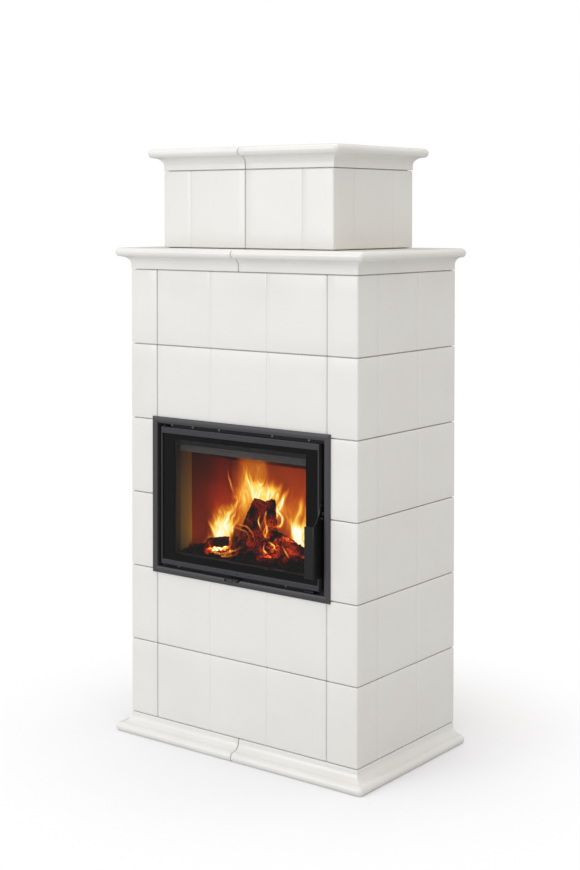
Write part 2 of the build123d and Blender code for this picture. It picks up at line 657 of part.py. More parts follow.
def side_lining():
    """The right-hand fireclay slab: its top edge follows the baffle."""
    front = PLATE_BACK + JAMB_DEPTH
    outline = [(front, FIRE_LOW), (LINING_BACK, FIRE_LOW), *baffle_section(0, 0)[:2]]
    return side_prism(outline, FIRE_HALF, FIRE_HALF + HEARTH)


def air_channels():
    """The upright air channels between the front plate and the side linings, folded steel tubes."""
    x0, x1 = FIRE_HALF, FIRE_HALF + HEARTH
    y0, y1 = PLATE_BACK, PLATE_BACK + JAMB_DEPTH
    top = BODY_TOP - STEEL
    tube = block(x0, x1, y0, y1, FIRE_LOW, top)
    sheet = TRIM_SHEET
    tube -= block(x0 + sheet, x1 - sheet, y0 + sheet, y1 - sheet, FIRE_LOW - 1, top + 1)
    return Compound(children=[tube, mirrored(tube)])


def air_deflector():
    """The folded sheet over the window that turns the purge air down the glass."""
    edge = FIRE_HALF - LINTEL_PLAY
    web_y = PLATE_BACK + DEFLECTOR_LEDGE
    low = FIRE_TOP - DEFLECTOR_DROP
    web = block(-edge, edge, web_y, web_y + DEFLECTOR, low, FIRE_TOP + DEFLECTOR_RISE)
    return web + block(-edge, edge, PLATE_BACK, web_y, FIRE_TOP + DEFLECTOR_RISE - DEFLECTOR, FIRE_TOP + DEFLECTOR_RISE)


def plate_screws():
    """The round screw heads seen on the front plate in the gaps over and under the door."""
    over = (LEAF_TOP + HOLE_TOP) / 2
    under = (LEAF_LOW + HOLE_LOW) / 2
    places = [(x, over) for x in UPPER_SCREWS] + [(x, under) for x in LOWER_SCREWS]
    heads = [bar_y(x, PLATE_FRONT - SCREW_HEAD, PLATE_FRONT, z, SCREW_RADIUS) for x, z in places]
    return Compound(children=heads)


# ---- flue ----

def flue_pipe():
    """The upright pipe from the hood to the elbow."""
    radius = FLUE_BORE / 2
    low = BODY_TOP + HOOD_HEIGHT
    high = FLUE_HEIGHT - FLUE_BEND
    return rod(0, FLUE_Y, low, high, radius + FLUE_WALL) - rod(0, FLUE_Y, low - 1, high + 1, radius)


def flue_elbow():
    """A quarter bend from the upright pipe to the rear outlet."""
    radius = FLUE_BORE / 2
    centre = (0, FLUE_Y + FLUE_BEND, FLUE_HEIGHT - FLUE_BEND)
    start = (0, FLUE_Y, FLUE_HEIGHT - FLUE_BEND)
    end = (0, FLUE_Y + FLUE_BEND, FLUE_HEIGHT)
    middle = (0, centre[1] - FLUE_BEND * cos(radians(45)), centre[2] + FLUE_BEND * sin(radians(45)))
    route = ThreePointArc(start, middle, end)
    foot = Pos(*start)
    return sweep(foot * (Circle(radius + FLUE_WALL) - Circle(radius)).face(), path=route)


def flue_socket():
    """The rear socket, flush with the boards, with a flange against their inside."""
    inner = FLUE_SOCKET_BORE / 2
    front = FLUE_Y + FLUE_BEND
    outer = inner + FLUE_WALL
    tube = bar_y(0, BACK - SOCKET_LENGTH, BACK, FLUE_HEIGHT, outer)
    flange_back = BACK - REAR_BOARD
    tube += bar_y(0, flange_back - SOCKET_FLANGE_THICKNESS, flange_back, FLUE_HEIGHT, outer + SOCKET_FLANGE)
    tube += bar_y(0, front, BACK - SOCKET_LENGTH, FLUE_HEIGHT, FLUE_BORE / 2 + FLUE_WALL)
    tube -= bar_y(0, BACK - SOCKET_LENGTH + FLUE_WALL, BACK + 1, FLUE_HEIGHT, inner)
    return tube - bar_y(0, front - 1, BACK + 1, FLUE_HEIGHT, FLUE_BORE / 2)


# ---- stand ----

def stand_leg():
    """The front right leg of the stand, an upright angle."""
    x = STAND_WIDTH / 2
    y = STAND_FRONT
    leg = block(x - ANGLE_LEG, x, y, y + ANGLE_THICKNESS, STAND_CLEAR, BODY_LOW)
    return leg + block(x - ANGLE_THICKNESS, x, y, y + ANGLE_LEG, STAND_CLEAR, BODY_LOW)


def stand_rails(low):
    """Four angles round the stand with their flats level at the top."""
    x = STAND_WIDTH / 2
    y0 = STAND_FRONT
    y1 = BODY_BACK
    high = low + ANGLE_LEG
    sheet = ANGLE_THICKNESS
    outer = block(-x, x, y0, y1, low, high)
    inner = block(sheet - x, x - sheet, y0 + sheet, y1 - sheet, low - 1, high + 1)
    shelf = block(-x, x, y0, y1, high - sheet, high)
    leg = ANGLE_LEG
    return outer - inner + (shelf - block(leg - x, x - leg, y0 + leg, y1 - leg, low - 1, high + 1))


def stand():
    """The welded stand: four legs with a rail round the top and one near the floor."""
    right = stand_leg()
    middle = (STAND_FRONT + BODY_BACK) / 2
    right += Pos(0, 2 * middle, 0) * mirror(right, Plane.XZ)
    return right + mirrored(right) + stand_rails(BODY_LOW - ANGLE_LEG) + stand_rails(STAND_CLEAR)


def levelling_feet():
    """Four round feet with their bolts up to the lower rails."""
    inset = (ANGLE_LEG + ANGLE_THICKNESS) / 2
    x = STAND_WIDTH / 2 - inset
    shelf = STAND_CLEAR + ANGLE_LEG - ANGLE_THICKNESS
    feet = []
    for place_x in (-x, x):
        for y in (STAND_FRONT + inset, BODY_BACK - inset):
            pad = rod(place_x, y, 0, FOOT_THICKNESS, FOOT_RADIUS)
            feet.append(pad + rod(place_x, y, FOOT_THICKNESS, shelf, FOOT_BOLT_RADIUS))
    return Compound(children=feet)


# ---- fire door ----

def door_leaf():
    """The leaf: thin side edges, a top and a bottom rail, and an open back for the glass."""
    leaf = block(-LEAF_HALF, LEAF_HALF, LEAF_FRONT, LEAF_BACK, LEAF_LOW, LEAF_TOP)
    leaf -= block(
        -INNER_HALF, INNER_HALF, LEAF_FRONT - 1, LEAF_BACK + 1, LEAF_LOW + BOTTOM_RAIL, LEAF_TOP - TOP_RAIL,
    )
    leaf = fillet([e for e in leaf.edges() if abs(e.center().Y - LEAF_FRONT) < LEAF_ROUND], LEAF_ROUND)
    leaf -= block(
        -INNER_HALF, INNER_HALF, GLASS_FRONT - GLASS_PLAY / 2, LEAF_BACK + 1,
        LEAF_LOW + LEAF_RIM, LEAF_TOP - LEAF_RIM,
    )
    for index in range(RAIL_HOLE_COUNT):
        x = (index - (RAIL_HOLE_COUNT - 1) / 2) * RAIL_HOLE_SPACING
        leaf -= bar_y(x, LEAF_FRONT - 1, GLASS_FRONT, LEAF_LOW + BOTTOM_RAIL / 2, RAIL_HOLE_RADIUS)
    hole = HINGE_PIN + HINGE_CLEARANCE
    for low, high in ((LEAF_LOW, LEAF_LOW + LEAF_RIM), (LEAF_TOP - LEAF_RIM, LEAF_TOP)):
        leaf -= rod(HINGE_X, HINGE_Y, low - 1, high + 1, hole)
    pin_hole = bar_x(INNER_HALF - 1, LEAF_HALF + 1, HANDLE_PIVOT_Y, HANDLE_PIVOT_Z, HANDLE_PIN)
    return leaf - pin_hole


def door_glass():
    """The flat ceramic pane, held behind the rails."""
    half = INNER_HALF - GLASS_PLAY
    low = LEAF_LOW + BOTTOM_RAIL - GLASS_LAP
    high = LEAF_TOP - TOP_RAIL + GLASS_LAP
    return block(-half, half, GLASS_FRONT, GLASS_BACK, low, high)


def retainer_levels():
    """Half width, underside and top of the glass retainer."""
    return INNER_HALF - GLASS_PLAY, LEAF_LOW + LEAF_RIM + GLASS_PLAY, LEAF_TOP - LEAF_RIM - GLASS_PLAY


def glass_retainer():
    """The ring that clamps the pane from behind."""
    half, low, high = retainer_levels()
    return ring(half, low, high, RETAINER_WIDTH, RETAINER_FRONT, RETAINER_BACK)


def door_gasket():
    """The rope seal on the back of the retainer, just clear of the front plate."""
    half, low, high = retainer_levels()
    inset = RETAINER_WIDTH - GASKET_INSET - GASKET_WIDTH
    return ring(
        half - inset, low + inset, high - inset, GASKET_WIDTH,
        RETAINER_BACK, PLATE_FRONT - GASKET_CLEARANCE,
    )


def retainer_screws():
    """Screws that clamp the retainer through its corners into the rails."""
    half, low, high = retainer_levels()
    inset = SCREW_RADIUS * 2
    heads = []
    for x in (-half / 2, 0, half / 2):
        for z in (low + inset, high - inset):
            heads.append(bar_y(x, RETAINER_BACK, RETAINER_BACK + SCREW_HEAD, z, SCREW_RADIUS))
    return Compound(children=heads)


def hinge_bracket(near, far, pin_end):
    """An ear from the front plate over the hinge axis, and the pin from it into the leaf."""
    z0, z1 = sorted((near, far))
    radius = HINGE_EAR_RADIUS
    ear = rod(HINGE_X, HINGE_Y, z0, z1, radius)
    ear += block(HINGE_X - radius, HINGE_X + radius, HINGE_Y, PLATE_FRONT, z0, z1)
    pin_low, pin_high = sorted((near, pin_end))
    return ear + rod(HINGE_X, HINGE_Y, pin_low, pin_high, HINGE_PIN)


def hinge_brackets():
    """The fixed ears with their pins, in the gaps above and below the leaf."""
    under = LEAF_LOW - HINGE_GAP
    over = LEAF_TOP + HINGE_GAP
    lower = hinge_bracket(under, under - HINGE_BRACKET, LEAF_LOW + LEAF_RIM)
    upper = hinge_bracket(over, over + HINGE_BRACKET, LEAF_TOP - LEAF_RIM)
    return Compound(children=[lower, upper])


def handle():
    """The lever: a flat grip flange, a web beside the leaf and a hollow-edged arm up to the pivot."""
    grip_right = WEB_RIGHT
    grip = block(
        grip_right - HANDLE_GRIP_WIDTH, grip_right, GRIP_FRONT, GRIP_FRONT + HANDLE_SHEET,
        HANDLE_GRIP_LOW, HANDLE_GRIP_TOP,
    )
    back = HANDLE_PIVOT_Y
    tip = HANDLE_PIVOT_Z
    nose = back - HANDLE_BOSS
    plane = Plane(origin=(WEB_LEFT, 0, 0), x_dir=(0, 1, 0), z_dir=(1, 0, 0))
    outline = [
        Line((GRIP_FRONT, HANDLE_GRIP_LOW), (GRIP_FRONT, HANDLE_GRIP_TOP)),
        RadiusArc((GRIP_FRONT, HANDLE_GRIP_TOP), (nose, tip), -HANDLE_ARC),
        ThreePointArc((nose, tip), (back, tip + HANDLE_BOSS), (back + HANDLE_BOSS, tip)),
        Line((back + HANDLE_BOSS, tip), (back, HANDLE_GRIP_TOP)),
        Line((back, HANDLE_GRIP_TOP), (back, HANDLE_GRIP_LOW)),
        Line((back, HANDLE_GRIP_LOW), (GRIP_FRONT, HANDLE_GRIP_LOW)),
    ]
    bent = grip + extrude(plane * make_face(outline), HANDLE_SHEET, dir=(1, 0, 0))
    bent = fillet([e for e in bent.edges().filter_by(Axis.Z) if is_at(e, [(WEB_RIGHT, GRIP_FRONT)])], HANDLE_BEND)
    hole = bar_x(WEB_LEFT - 1, WEB_RIGHT + 1, back, tip, HANDLE_PIN + HANDLE_PIN_CLEARANCE)
    stud_z = tip - STUD_DROP
    stud = bar_x(WEB_RIGHT, WEB_RIGHT + STUD_LENGTH, back + STUD_RADIUS - HANDLE_BOSS, stud_z, STUD_RADIUS)
    return bent - hole + stud


def latch_keeper():
    """The keeper on the front plate, beside the lever and just over its stud, with a sloped nose."""
    left = WEB_RIGHT + HANDLE_SIDE_GAP + HANDLE_PIN_HEAD_THICKNESS + HANDLE_SIDE_GAP
    low = HANDLE_PIVOT_Z - STUD_DROP + STUD_RADIUS + KEEPER_GAP
    front = PLATE_FRONT - KEEPER_DEPTH
    outline = [
        (front + KEEPER_SLOPE, low), (PLATE_FRONT, low), (PLATE_FRONT, low + KEEPER_HEIGHT),
        (front, low + KEEPER_HEIGHT), (front, low + KEEPER_SLOPE),
    ]
    return side_prism(outline, left, left + KEEPER_WIDTH)


def handle_pin():
    """The pivot of the lever, riveted into the leaf's side edge, with a head outside the web."""
    head = WEB_RIGHT + HANDLE_SIDE_GAP
    pin = bar_x(INNER_HALF, head, HANDLE_PIVOT_Y, HANDLE_PIVOT_Z, HANDLE_PIN)
    return pin + bar_x(head, head + HANDLE_PIN_HEAD_THICKNESS, HANDLE_PIVOT_Y, HANDLE_PIVOT_Z, HANDLE_PIN_HEAD)


def door_rest():
    """A small bracket in the gap under the latch side, which takes the door's weight."""
    top = LEAF_LOW - REST_GAP
    left = REST_RIGHT - REST_WIDTH
    rest = block(left, REST_RIGHT, LEAF_FRONT + LEAF_RIM, PLATE_FRONT, top - REST_HEIGHT, top)
    ramp = LEAF_RIM
    edge = [e for e in rest.edges().filter_by(Axis.X) if e.center().Z > top - 1 and e.center().Y < LEAF_FRONT + 2 * LEAF_RIM]
    return chamfer(edge, ramp)


# ---- air control ----

def air_lever():
    """The tab with its folded lip, and the shutter under the air inlet at its far end."""
    half = LEVER_WIDTH / 2
    front = TRIM_FRONT - LEVER_PROUD
    back = SHUTTER_FRONT + SHUTTER_DEPTH
    tab = block(LEVER_X - half, LEVER_X + half, front, back, LEVER_LOW, LEVER_HIGH)
    wide = SHUTTER_WIDTH / 2
    tab += block(LEVER_X - wide, LEVER_X + wide, SHUTTER_FRONT, back, LEVER_LOW, LEVER_HIGH)
    middle = LEVER_X + LEVER_LIP_SHIFT
    lip_half = LEVER_LIP_WIDTH / 2
    lip = block(
        middle - lip_half, middle + lip_half, front - LEVER_SHEET, front, LEVER_HIGH - LEVER_LIP_HEIGHT, LEVER_HIGH,
    )
    lip = fillet([e for e in lip.edges().filter_by(Axis.Y) if e.center().Z < LEVER_LOW], LEVER_SHEET)
    return tab + lip


def shutter_runner(x, away):
    """An angle under the body along one end of the shutter."""
    wall_x = x + away * LEVER_CLEARANCE
    outer_x = wall_x + away * TRIM_SHEET
    flange_x = x - away * RUNNER_FLANGE
    y0 = SHUTTER_FRONT - LEVER_TRAVEL
    y1 = SHUTTER_FRONT + SHUTTER_DEPTH
    under = LEVER_LOW - LEVER_CLEARANCE / 2
    web_low, web_high = sorted((wall_x, outer_x))
    flange_low, flange_high = sorted((flange_x, outer_x))
    web = block(web_low, web_high, y0, y1, under - TRIM_SHEET, BODY_LOW)
    return web + block(flange_low, flange_high, y0, y1, under - TRIM_SHEET, under)


def shutter_runners():
    """The two angles that carry the shutter."""
    half = SHUTTER_WIDTH / 2
    return Compound(children=[shutter_runner(LEVER_X - half, -1), shutter_runner(LEVER_X + half, 1)])


# ---- everything, node by node ----

def ceramic_nodes():
    """The glazed pieces, the slabs and the rear boards."""
    nodes = {}
    pairs = {
        "plinth": body_moulding(plinth_section(), 0, FIRST_SEAT),
        "cornice": body_moulding(cornice_section(), BODY_SEAT, CORNICE_HEIGHT),
        "crown": crown_half(),
        "crown_cornice": crown_moulding(CROWN_SEAT),
    }
    for course in range(COURSE_COUNT):
        low = FIRST_SEAT + course * COURSE_PITCH
        pairs[f"course_{course + 1}"] = corner_piece(low)
        if course not in DOOR_COURSES:
            nodes[f"course_{course + 1}_panel"] = front_panel(low)
    for name, right in pairs.items():
        nodes[f"{name}_right"] = right
        nodes[f"{name}_left"] = mirrored(right)
    for index in range(REAR_BOARD_COUNT):
        nodes[f"rear_board_{index + 1}"] = rear_board(index)
    nodes["ceiling_slab"] = ceiling_slab()
    nodes["crown_slab"] = crown_slab()
    nodes["lintel"] = lintel()
    return nodes


def insert_nodes():
    """The fixed pieces of the heating insert, its flue and its stand."""
    lining = side_lining()
    return {
        "trim_frame": trim_frame(),
        "front_plate": front_plate(),
        "plate_screws": plate_screws(),
        "body_shell": body_shell(),
        "smoke_hood": smoke_hood(),
        "hearth_bearers": hearth_bed(),
        "hearth_floor": hearth_floor(),
        "side_lining_right": lining,
        "side_lining_left": mirrored(lining),
        "back_lining": back_lining(),
        "baffle": baffle(),
        "air_channels": air_channels(),
        "air_deflector": air_deflector(),
        "flue_pipe": flue_pipe(),
        "flue_elbow": flue_elbow(),
        "flue_socket": flue_socket(),
        "stand": stand(),
        "levelling_feet": levelling_feet(),
        "hinge_brackets": hinge_brackets(),
        "latch_keeper": latch_keeper(),
        "door_rest": door_rest(),
        "shutter_runners": shutter_runners(),
    }


def moving_nodes():
    """The door with what it carries, its lever, and the air lever."""
    return {
        "door_leaf": door_leaf(),
        "door_glass": door_glass(),
        "glass_retainer": glass_retainer(),
        "retainer_screws": retainer_screws(),
        "door_gasket": door_gasket(),
        "handle_pin": handle_pin(),
        "handle": handle(),
        "air_lever": air_lever(),
    }


def main():
    """Build every node and write one STEP file for each."""
    os.makedirs("parts", exist_ok=True)
    for nodes in (ceramic_nodes(), insert_nodes(), moving_nodes()):
        for name, shape in nodes.items():
            export_step(shape, f"parts/{name}.step")


main()
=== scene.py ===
import json
import logging
from collections.abc import Callable
from dataclasses import dataclass, field
from enum import Enum
from functools import partial
from math import pi, radians, tan

import bmesh
import bpy
import numpy as np
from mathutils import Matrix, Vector
from numpy.typing import NDArray


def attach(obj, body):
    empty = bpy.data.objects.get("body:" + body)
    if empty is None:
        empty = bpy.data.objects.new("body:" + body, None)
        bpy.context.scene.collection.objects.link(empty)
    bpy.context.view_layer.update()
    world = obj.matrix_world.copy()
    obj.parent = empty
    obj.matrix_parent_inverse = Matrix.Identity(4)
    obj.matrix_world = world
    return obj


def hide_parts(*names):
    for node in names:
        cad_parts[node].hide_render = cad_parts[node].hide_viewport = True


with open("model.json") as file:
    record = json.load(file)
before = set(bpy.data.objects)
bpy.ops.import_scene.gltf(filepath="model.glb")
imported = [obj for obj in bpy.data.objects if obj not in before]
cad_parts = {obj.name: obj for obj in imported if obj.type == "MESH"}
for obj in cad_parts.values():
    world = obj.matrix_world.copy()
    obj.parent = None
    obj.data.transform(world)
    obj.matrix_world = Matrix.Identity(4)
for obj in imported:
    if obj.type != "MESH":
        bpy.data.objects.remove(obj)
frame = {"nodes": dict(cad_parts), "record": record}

LOG = logging.getLogger("tiled_stove")
MM = 0.001
Array = NDArray[np.float64]
Socket = bpy.types.NodeSocket
Adder = Callable[..., bpy.types.Node]
HEAT_LAYER = "burning"     # attribute of the flame sheets

# ---- sizes of the real stove, in millimetres ----
SIDE = 440.0            # half the body's width
FRONT = -255.0          # front face of the tiles
BACK = 295.0
WALL = 40.0
COURSE_PITCH = 240.0
COURSE_LOW = 62.5       # seat of the first course
COURSE_COUNT = 6
TILE_HEIGHT = 237.5
JOINT = 2.5
JOINT_DEPTH = 12.0
FIELD = 220.0           # one tile field
UPRIGHT_GAP = 0.5       # half the gap between two pieces of a course
CORNER_ROUND = 5.0
RIM_ROUND = 3.5
OVERHANG = 40.0
NOSE_PLAN_ROUND = 14.0
MIN_ROUND = 0.4
CROWN_HALF = 330.0
CROWN_DEEP = 220.0
CROWN_LOW = 1573.0
CROWN_HEIGHT = 242.0
CORNICE_HEIGHT = 68.0
CORNICE_LOW = 1502.5
CROWN_CORNICE_LOW = 1817.5
SLAB = 30.0
SLAB_LEDGE = 20.0
HEARTH_TOP = 602.5
OPENING_TOP = 948.5
CHAMBER_HALF = 262.0
PLATE_FACE = -238.0
CHAMBER_FRONT = -232.0
CHANNEL_BACK = -162.0
CHAMBER_BACK = 50.0
BAFFLE_LOW = 866.5      # underside of the baffle at the back
BAFFLE_TILT = 15.0      # degrees, rising to the front
WINDOW_HALF = 257.0     # clear part of the pane
WINDOW_LOW = 600.5
WINDOW_TOP = 966.0


class Slot(Enum):
    """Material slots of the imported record."""

    GLAZE = "glaze"
    SLAB = "slab"
    BOARD = "board"
    FIRECLAY = "fireclay"
    VERMICULITE = "vermiculite"
    GLASS = "glass"
    ROPE_SEAL = "rope_seal"
    DARK_STEEL = "dark_steel"
    BARE_STEEL = "bare_steel"
    ZINC = "zinc"
    FLUE_STEEL = "flue_steel"
    PRIMED_STEEL = "primed_steel"
    BODY_STEEL = "body_steel"


class Turn(Enum):
    """Which way a ceramic piece faces: as built, or as its left-hand twin."""

    RIGHT = 1
    LEFT = -1


# ---- colours and shader nodes ----


def linear(code: str) -> tuple[float, float, float, float]:
    """Linear colour of an sRGB hex code.

    Args:
        code: Colour as ``#RRGGBB``.

    Returns:
        Red, green and blue in linear light, and an alpha of 1.
    """
    parts = [int(code[i : i + 2], 16) / 255 for i in (1, 3, 5)]
    red, green, blue = (p / 12.92 if p <= 0.04045 else ((p + 0.055) / 1.055) ** 2.4 for p in parts)
    return red, green, blue, 1.0


def add_node(
    tree: bpy.types.NodeTree,
    kind: str,
    inputs: dict | None = None,
    stops: tuple[tuple[float, str], ...] = (),
    **settings: object,
) -> bpy.types.Node:
    """Add a shader node, set its properties, and set or link its inputs.

    Args:
        tree: Node tree of a material or world.
        kind: Node type without the ``ShaderNode`` prefix.
        inputs: Input name or number, to a value, a socket, or a node whose first output feeds it.
        stops: Position and hex colour of each stop of a colour ramp, in rising order.
        **settings: Node properties.

    Returns:
        The new node.
    """
    node = tree.nodes.new(f"ShaderNode{kind}")
    for name, value in settings.items():
        setattr(node, name, value)
    for key, value in (inputs or {}).items():
        source = value.outputs[0] if isinstance(value, bpy.types.Node) else value
        if isinstance(source, Socket):
            tree.links.new(source, node.inputs[key])
        else:
            node.inputs[key].default_value = source
    if stops:
        elements = node.color_ramp.elements
        while len(elements) < len(stops):
            elements.new(0.5)
        for element, (place, code) in zip(elements, stops):
            element.position = place
            element.color = linear(code)
    return node


def add_outside(add: Adder, parts: bpy.types.Node, half: float, low: float, top: float) -> bpy.types.Node:
    """Add how far a place lies outside an upright rectangle that is centred on the stove.

    It is the larger of the distances past the sides and past the top or bottom, and is negative inside.

    Args:
        add: Adds a node to the material.
        parts: Separated Object coordinates, in metres.
        half: Half the rectangle's width, in millimetres.
        low: Its lower edge.
        top: Its upper edge.

    Returns:
        Node with the distance, in metres.
    """
    across = add("Math", {0: parts.outputs["X"]}, operation="ABSOLUTE")
    past_side = add("Math", {0: across, 1: half * MM}, operation="SUBTRACT")
    above = add("Math", {0: parts.outputs["Z"], 1: (low + top) / 2 * MM}, operation="SUBTRACT")
    off_middle = add("Math", {0: above}, operation="ABSOLUTE")
    past_end = add("Math", {0: off_middle, 1: (top - low) / 2 * MM}, operation="SUBTRACT")
    return add("Math", {0: past_side, 1: past_end}, operation="MAXIMUM")


# ---- finishes ----


@dataclass(frozen=True)
class Finish:
    """A surface finish; subclasses add what makes each one look as it does."""

    name: str
    colour: str
    roughness: float = 0.5
    metallic: float = 0.0

    def build(self) -> bpy.types.Material:
        """Make the material.

        Returns:
            A new material with this finish.
        """
        material = bpy.data.materials.new(self.name)
        material.diffuse_color = linear(self.colour)
        material.use_nodes = True
        material.node_tree.nodes.clear()
        add = partial(add_node, material.node_tree)
        place = add("TexCoord").outputs["Object"]
        add("OutputMaterial", {"Surface": self.surface(add, place)})
        return material

    def surface(self, add: Adder, place: Socket) -> bpy.types.Node:
        """Make the shader.

        Args:
            add: Adds a node to the material.
            place: Object coordinates, in metres.

        Returns:
            The node that goes to the material output.
        """
        plain = {"Base Color": linear(self.colour), "Roughness": self.roughness, "Metallic": self.metallic}
        return add("BsdfPrincipled", plain | self.look(add, place))

    def look(self, add: Adder, place: Socket) -> dict:
        """Make what this finish has besides plain colour, roughness and metal.

        Args:
            add: Adds a node to the material.
            place: Object coordinates, in metres.

        Returns:
            Shader input name to its value, socket or node.
        """
        return {}


@dataclass(frozen=True)
class Glaze(Finish):
    """White glaze on fired clay, dipped and fired: glossy, softly waved, an even and slightly warm white."""

    second: str = "#E5E3DF"
    cloud: float = 0.3      # metres, soft clouds of the two whites
    wave: float = 0.045     # metres from one soft wave of the surface to the next
    peel: float = 0.0022    # metres, fine unevenness

    def look(self, add: Adder, place: Socket) -> dict:
        """Even white, two scales of unevenness under the gloss."""
        cloud = add("TexNoise", {"Vector": place, "Scale": 1 / self.cloud, "Detail": 3.0})
        tone = add("ValToRGB", {"Fac": cloud}, ((0.35, self.colour), (0.7, self.second)))
        waves = add("TexNoise", {"Vector": place, "Scale": 1 / self.wave, "Detail": 1.0})
        slow = add("Bump", {"Height": waves, "Strength": 0.35, "Distance": 0.0006})
        grain = add("TexNoise", {"Vector": place, "Scale": 1 / self.peel, "Detail": 2.0})
        fine = add("Bump", {"Height": grain, "Strength": 0.15, "Distance": 0.0001, "Normal": slow})
        return {"Base Color": tone, "Normal": fine}


@dataclass(frozen=True)
class Paint(Finish):
    """Heat-proof paint, sprayed and baked on sheet steel: matt, with a fine even grain."""

    grain: float = 0.0012   # metres

    def look(self, add: Adder, place: Socket) -> dict:
        """A sprayed grain that breaks up highlights."""
        grain = add("TexNoise", {"Vector": place, "Scale": 1 / self.grain, "Detail": 2.0})
        return {"Normal": add("Bump", {"Height": grain, "Strength": 0.25, "Distance": 0.0001})}


@dataclass(frozen=True)
class ScorchedPaint(Finish):
    """Heat-proof paint, burnt to grey by the fire round the fire opening, and near-black elsewhere as painted
    shade in the gap round the door leaf.
    """

    burnt: str = "#76767C"
    reach: float = 16.0     # millimetres from the opening's edge to the near-black painted shade
    fade: float = 5.0       # millimetres over which it turns to that painted shade
    edge: float = 0.6       # the grey goes this deep into the plate's cut edge

    def look(self, add: Adder, place: Socket) -> dict:
        """Grey inside a rectangle a little larger than the opening, blending to the near-black painted shade
        outside it.
        """
        parts = add("SeparateXYZ", {0: place})
        past = add_outside(add, parts, CHAMBER_HALF, HEARTH_TOP, OPENING_TOP)
        ends = {"From Min": self.reach * MM, "From Max": (self.reach + self.fade) * MM}
        # painted shade: near-black away from the opening, for the shade in the gap round the door leaf
        gap_shade = add("MapRange", {"Value": past} | ends)
        behind = {0: parts.outputs["Y"], 1: (PLATE_FACE + self.edge) * MM}
        cut_edge = add("Math", behind, operation="GREATER_THAN")
        share = add("Math", {0: gap_shade, 1: cut_edge}, operation="MAXIMUM")
        tone = add("Mix", {"Factor": share, 6: linear(self.burnt), 7: linear(self.colour)}, data_type="RGBA")
        return {"Base Color": tone.outputs[2]}


@dataclass(frozen=True)
class Rolled(Finish):
    """Bare rolled sheet: metal with a fine grain drawn out along the sheet, dulled by heat."""

    tint: str = "#6E665A"
    streaks: tuple[float, float, float] = (30.0, 30.0, 400.0)     # to the metre, along X, Y and Z

    def look(self, add: Adder, place: Socket) -> dict:
        """Streaked tone."""
        long = add("Mapping", {"Vector": place, "Scale": self.streaks})
        streak = add("TexNoise", {"Vector": long, "Scale": 1.0, "Detail": 3.0})
        return {"Base Color": add("ValToRGB", {"Fac": streak}, ((0.3, self.colour), (0.7, self.tint)))}


@dataclass(frozen=True)
class ShadedFireLitSheet(Finish):
    """Rolled sheet beside a fire: painted shadow where it meets the front plate, and lighter and warmer
    towards the fire as painted fire light.
    """

    # painted fire light: the tint at the chamber end
    tint: str = "#8E8650"
    # painted shadow: the dark tone in the joint with the front plate
    soot_and_shade: str = "#2A2A29"

    def look(self, add: Adder, place: Socket) -> dict:
        """Tone by depth: painted shadow in the joint, then from the colour to the tint at the chamber, which
        is painted fire light.
        """
        depth = add("SeparateXYZ", {0: place}).outputs["Y"]
        ends = {"From Min": CHAMBER_FRONT * MM, "From Max": CHANNEL_BACK * MM}
        share = add("MapRange", {"Value": depth} | ends)
        stops = ((0.16, self.soot_and_shade), (0.26, self.colour), (1.0, self.tint))
        return {"Base Color": add("ValToRGB", {"Fac": share}, stops)}


@dataclass(frozen=True)
class Fireclay(Finish):
    """Cast fireclay slab: dry and matt, with a sandy grain, darker upwards with soot and painted shade, and
    black under the baffle as painted shade.
    """

    soot_and_shade: str = "#3A2A20"
    # painted shade: the black next to the sloping baffle
    corner: str = "#0A0504"
    sheen: float = 0.15     # its pores swallow most of the shine
    cloud: float = 0.12     # metres, clouds of soot
    sand: float = 0.004     # metres, drawn coarser than real sand so that it shows
    darkest_height: float = 980.0   # height at which soot and painted shade are thickest
    shade: tuple[float, float] = (9.0, 5.0)     # this far under the baffle the painted black shade starts and is full

    def look(self, add: Adder, place: Socket) -> dict:
        """Buff clay with soot in soft clouds, darker with height as soot and painted shade, and a painted
        black shade next to the sloping baffle.
        """
        parts = add("SeparateXYZ", {0: place})
        depth, up = parts.outputs["Y"], parts.outputs["Z"]
        # darker with height: soot, and painted shade away from the fire
        ends = {"From Min": HEARTH_TOP * MM, "From Max": self.darkest_height * MM, "To Max": 0.55}
        rise = add("MapRange", {"Value": up} | ends)
        cloud = add("TexNoise", {"Vector": place, "Scale": 1 / self.cloud, "Detail": 5.0})
        mix = add("Math", {0: cloud, 1: 0.5, 2: rise}, operation="MULTIPLY_ADD", use_clamp=True)
        clouded = add("ValToRGB", {"Fac": mix}, ((0.2, self.colour), (0.95, self.soot_and_shade)))
        # painted shade: black in a band just under the sloping baffle
        forward = add("Math", {0: depth, 1: CHAMBER_BACK * MM}, operation="SUBTRACT")
        level = add("Math", {0: forward, 1: tan(radians(BAFFLE_TILT)), 2: up}, operation="MULTIPLY_ADD")
        ends = {"From Min": (BAFFLE_LOW - self.shade[0]) * MM, "From Max": (BAFFLE_LOW - self.shade[1]) * MM}
        under = add("MapRange", {"Value": level} | ends)
        tone = add("Mix", {"Factor": under, 6: clouded, 7: linear(self.corner)}, data_type="RGBA").outputs[2]
        sand = add("TexNoise", {"Vector": place, "Scale": 1 / self.sand, "Detail": 4.0})
        bump = add("Bump", {"Height": sand, "Strength": 0.5, "Distance": 0.0006})
        return {"Base Color": tone, "Specular IOR Level": self.sheen, "Normal": bump}


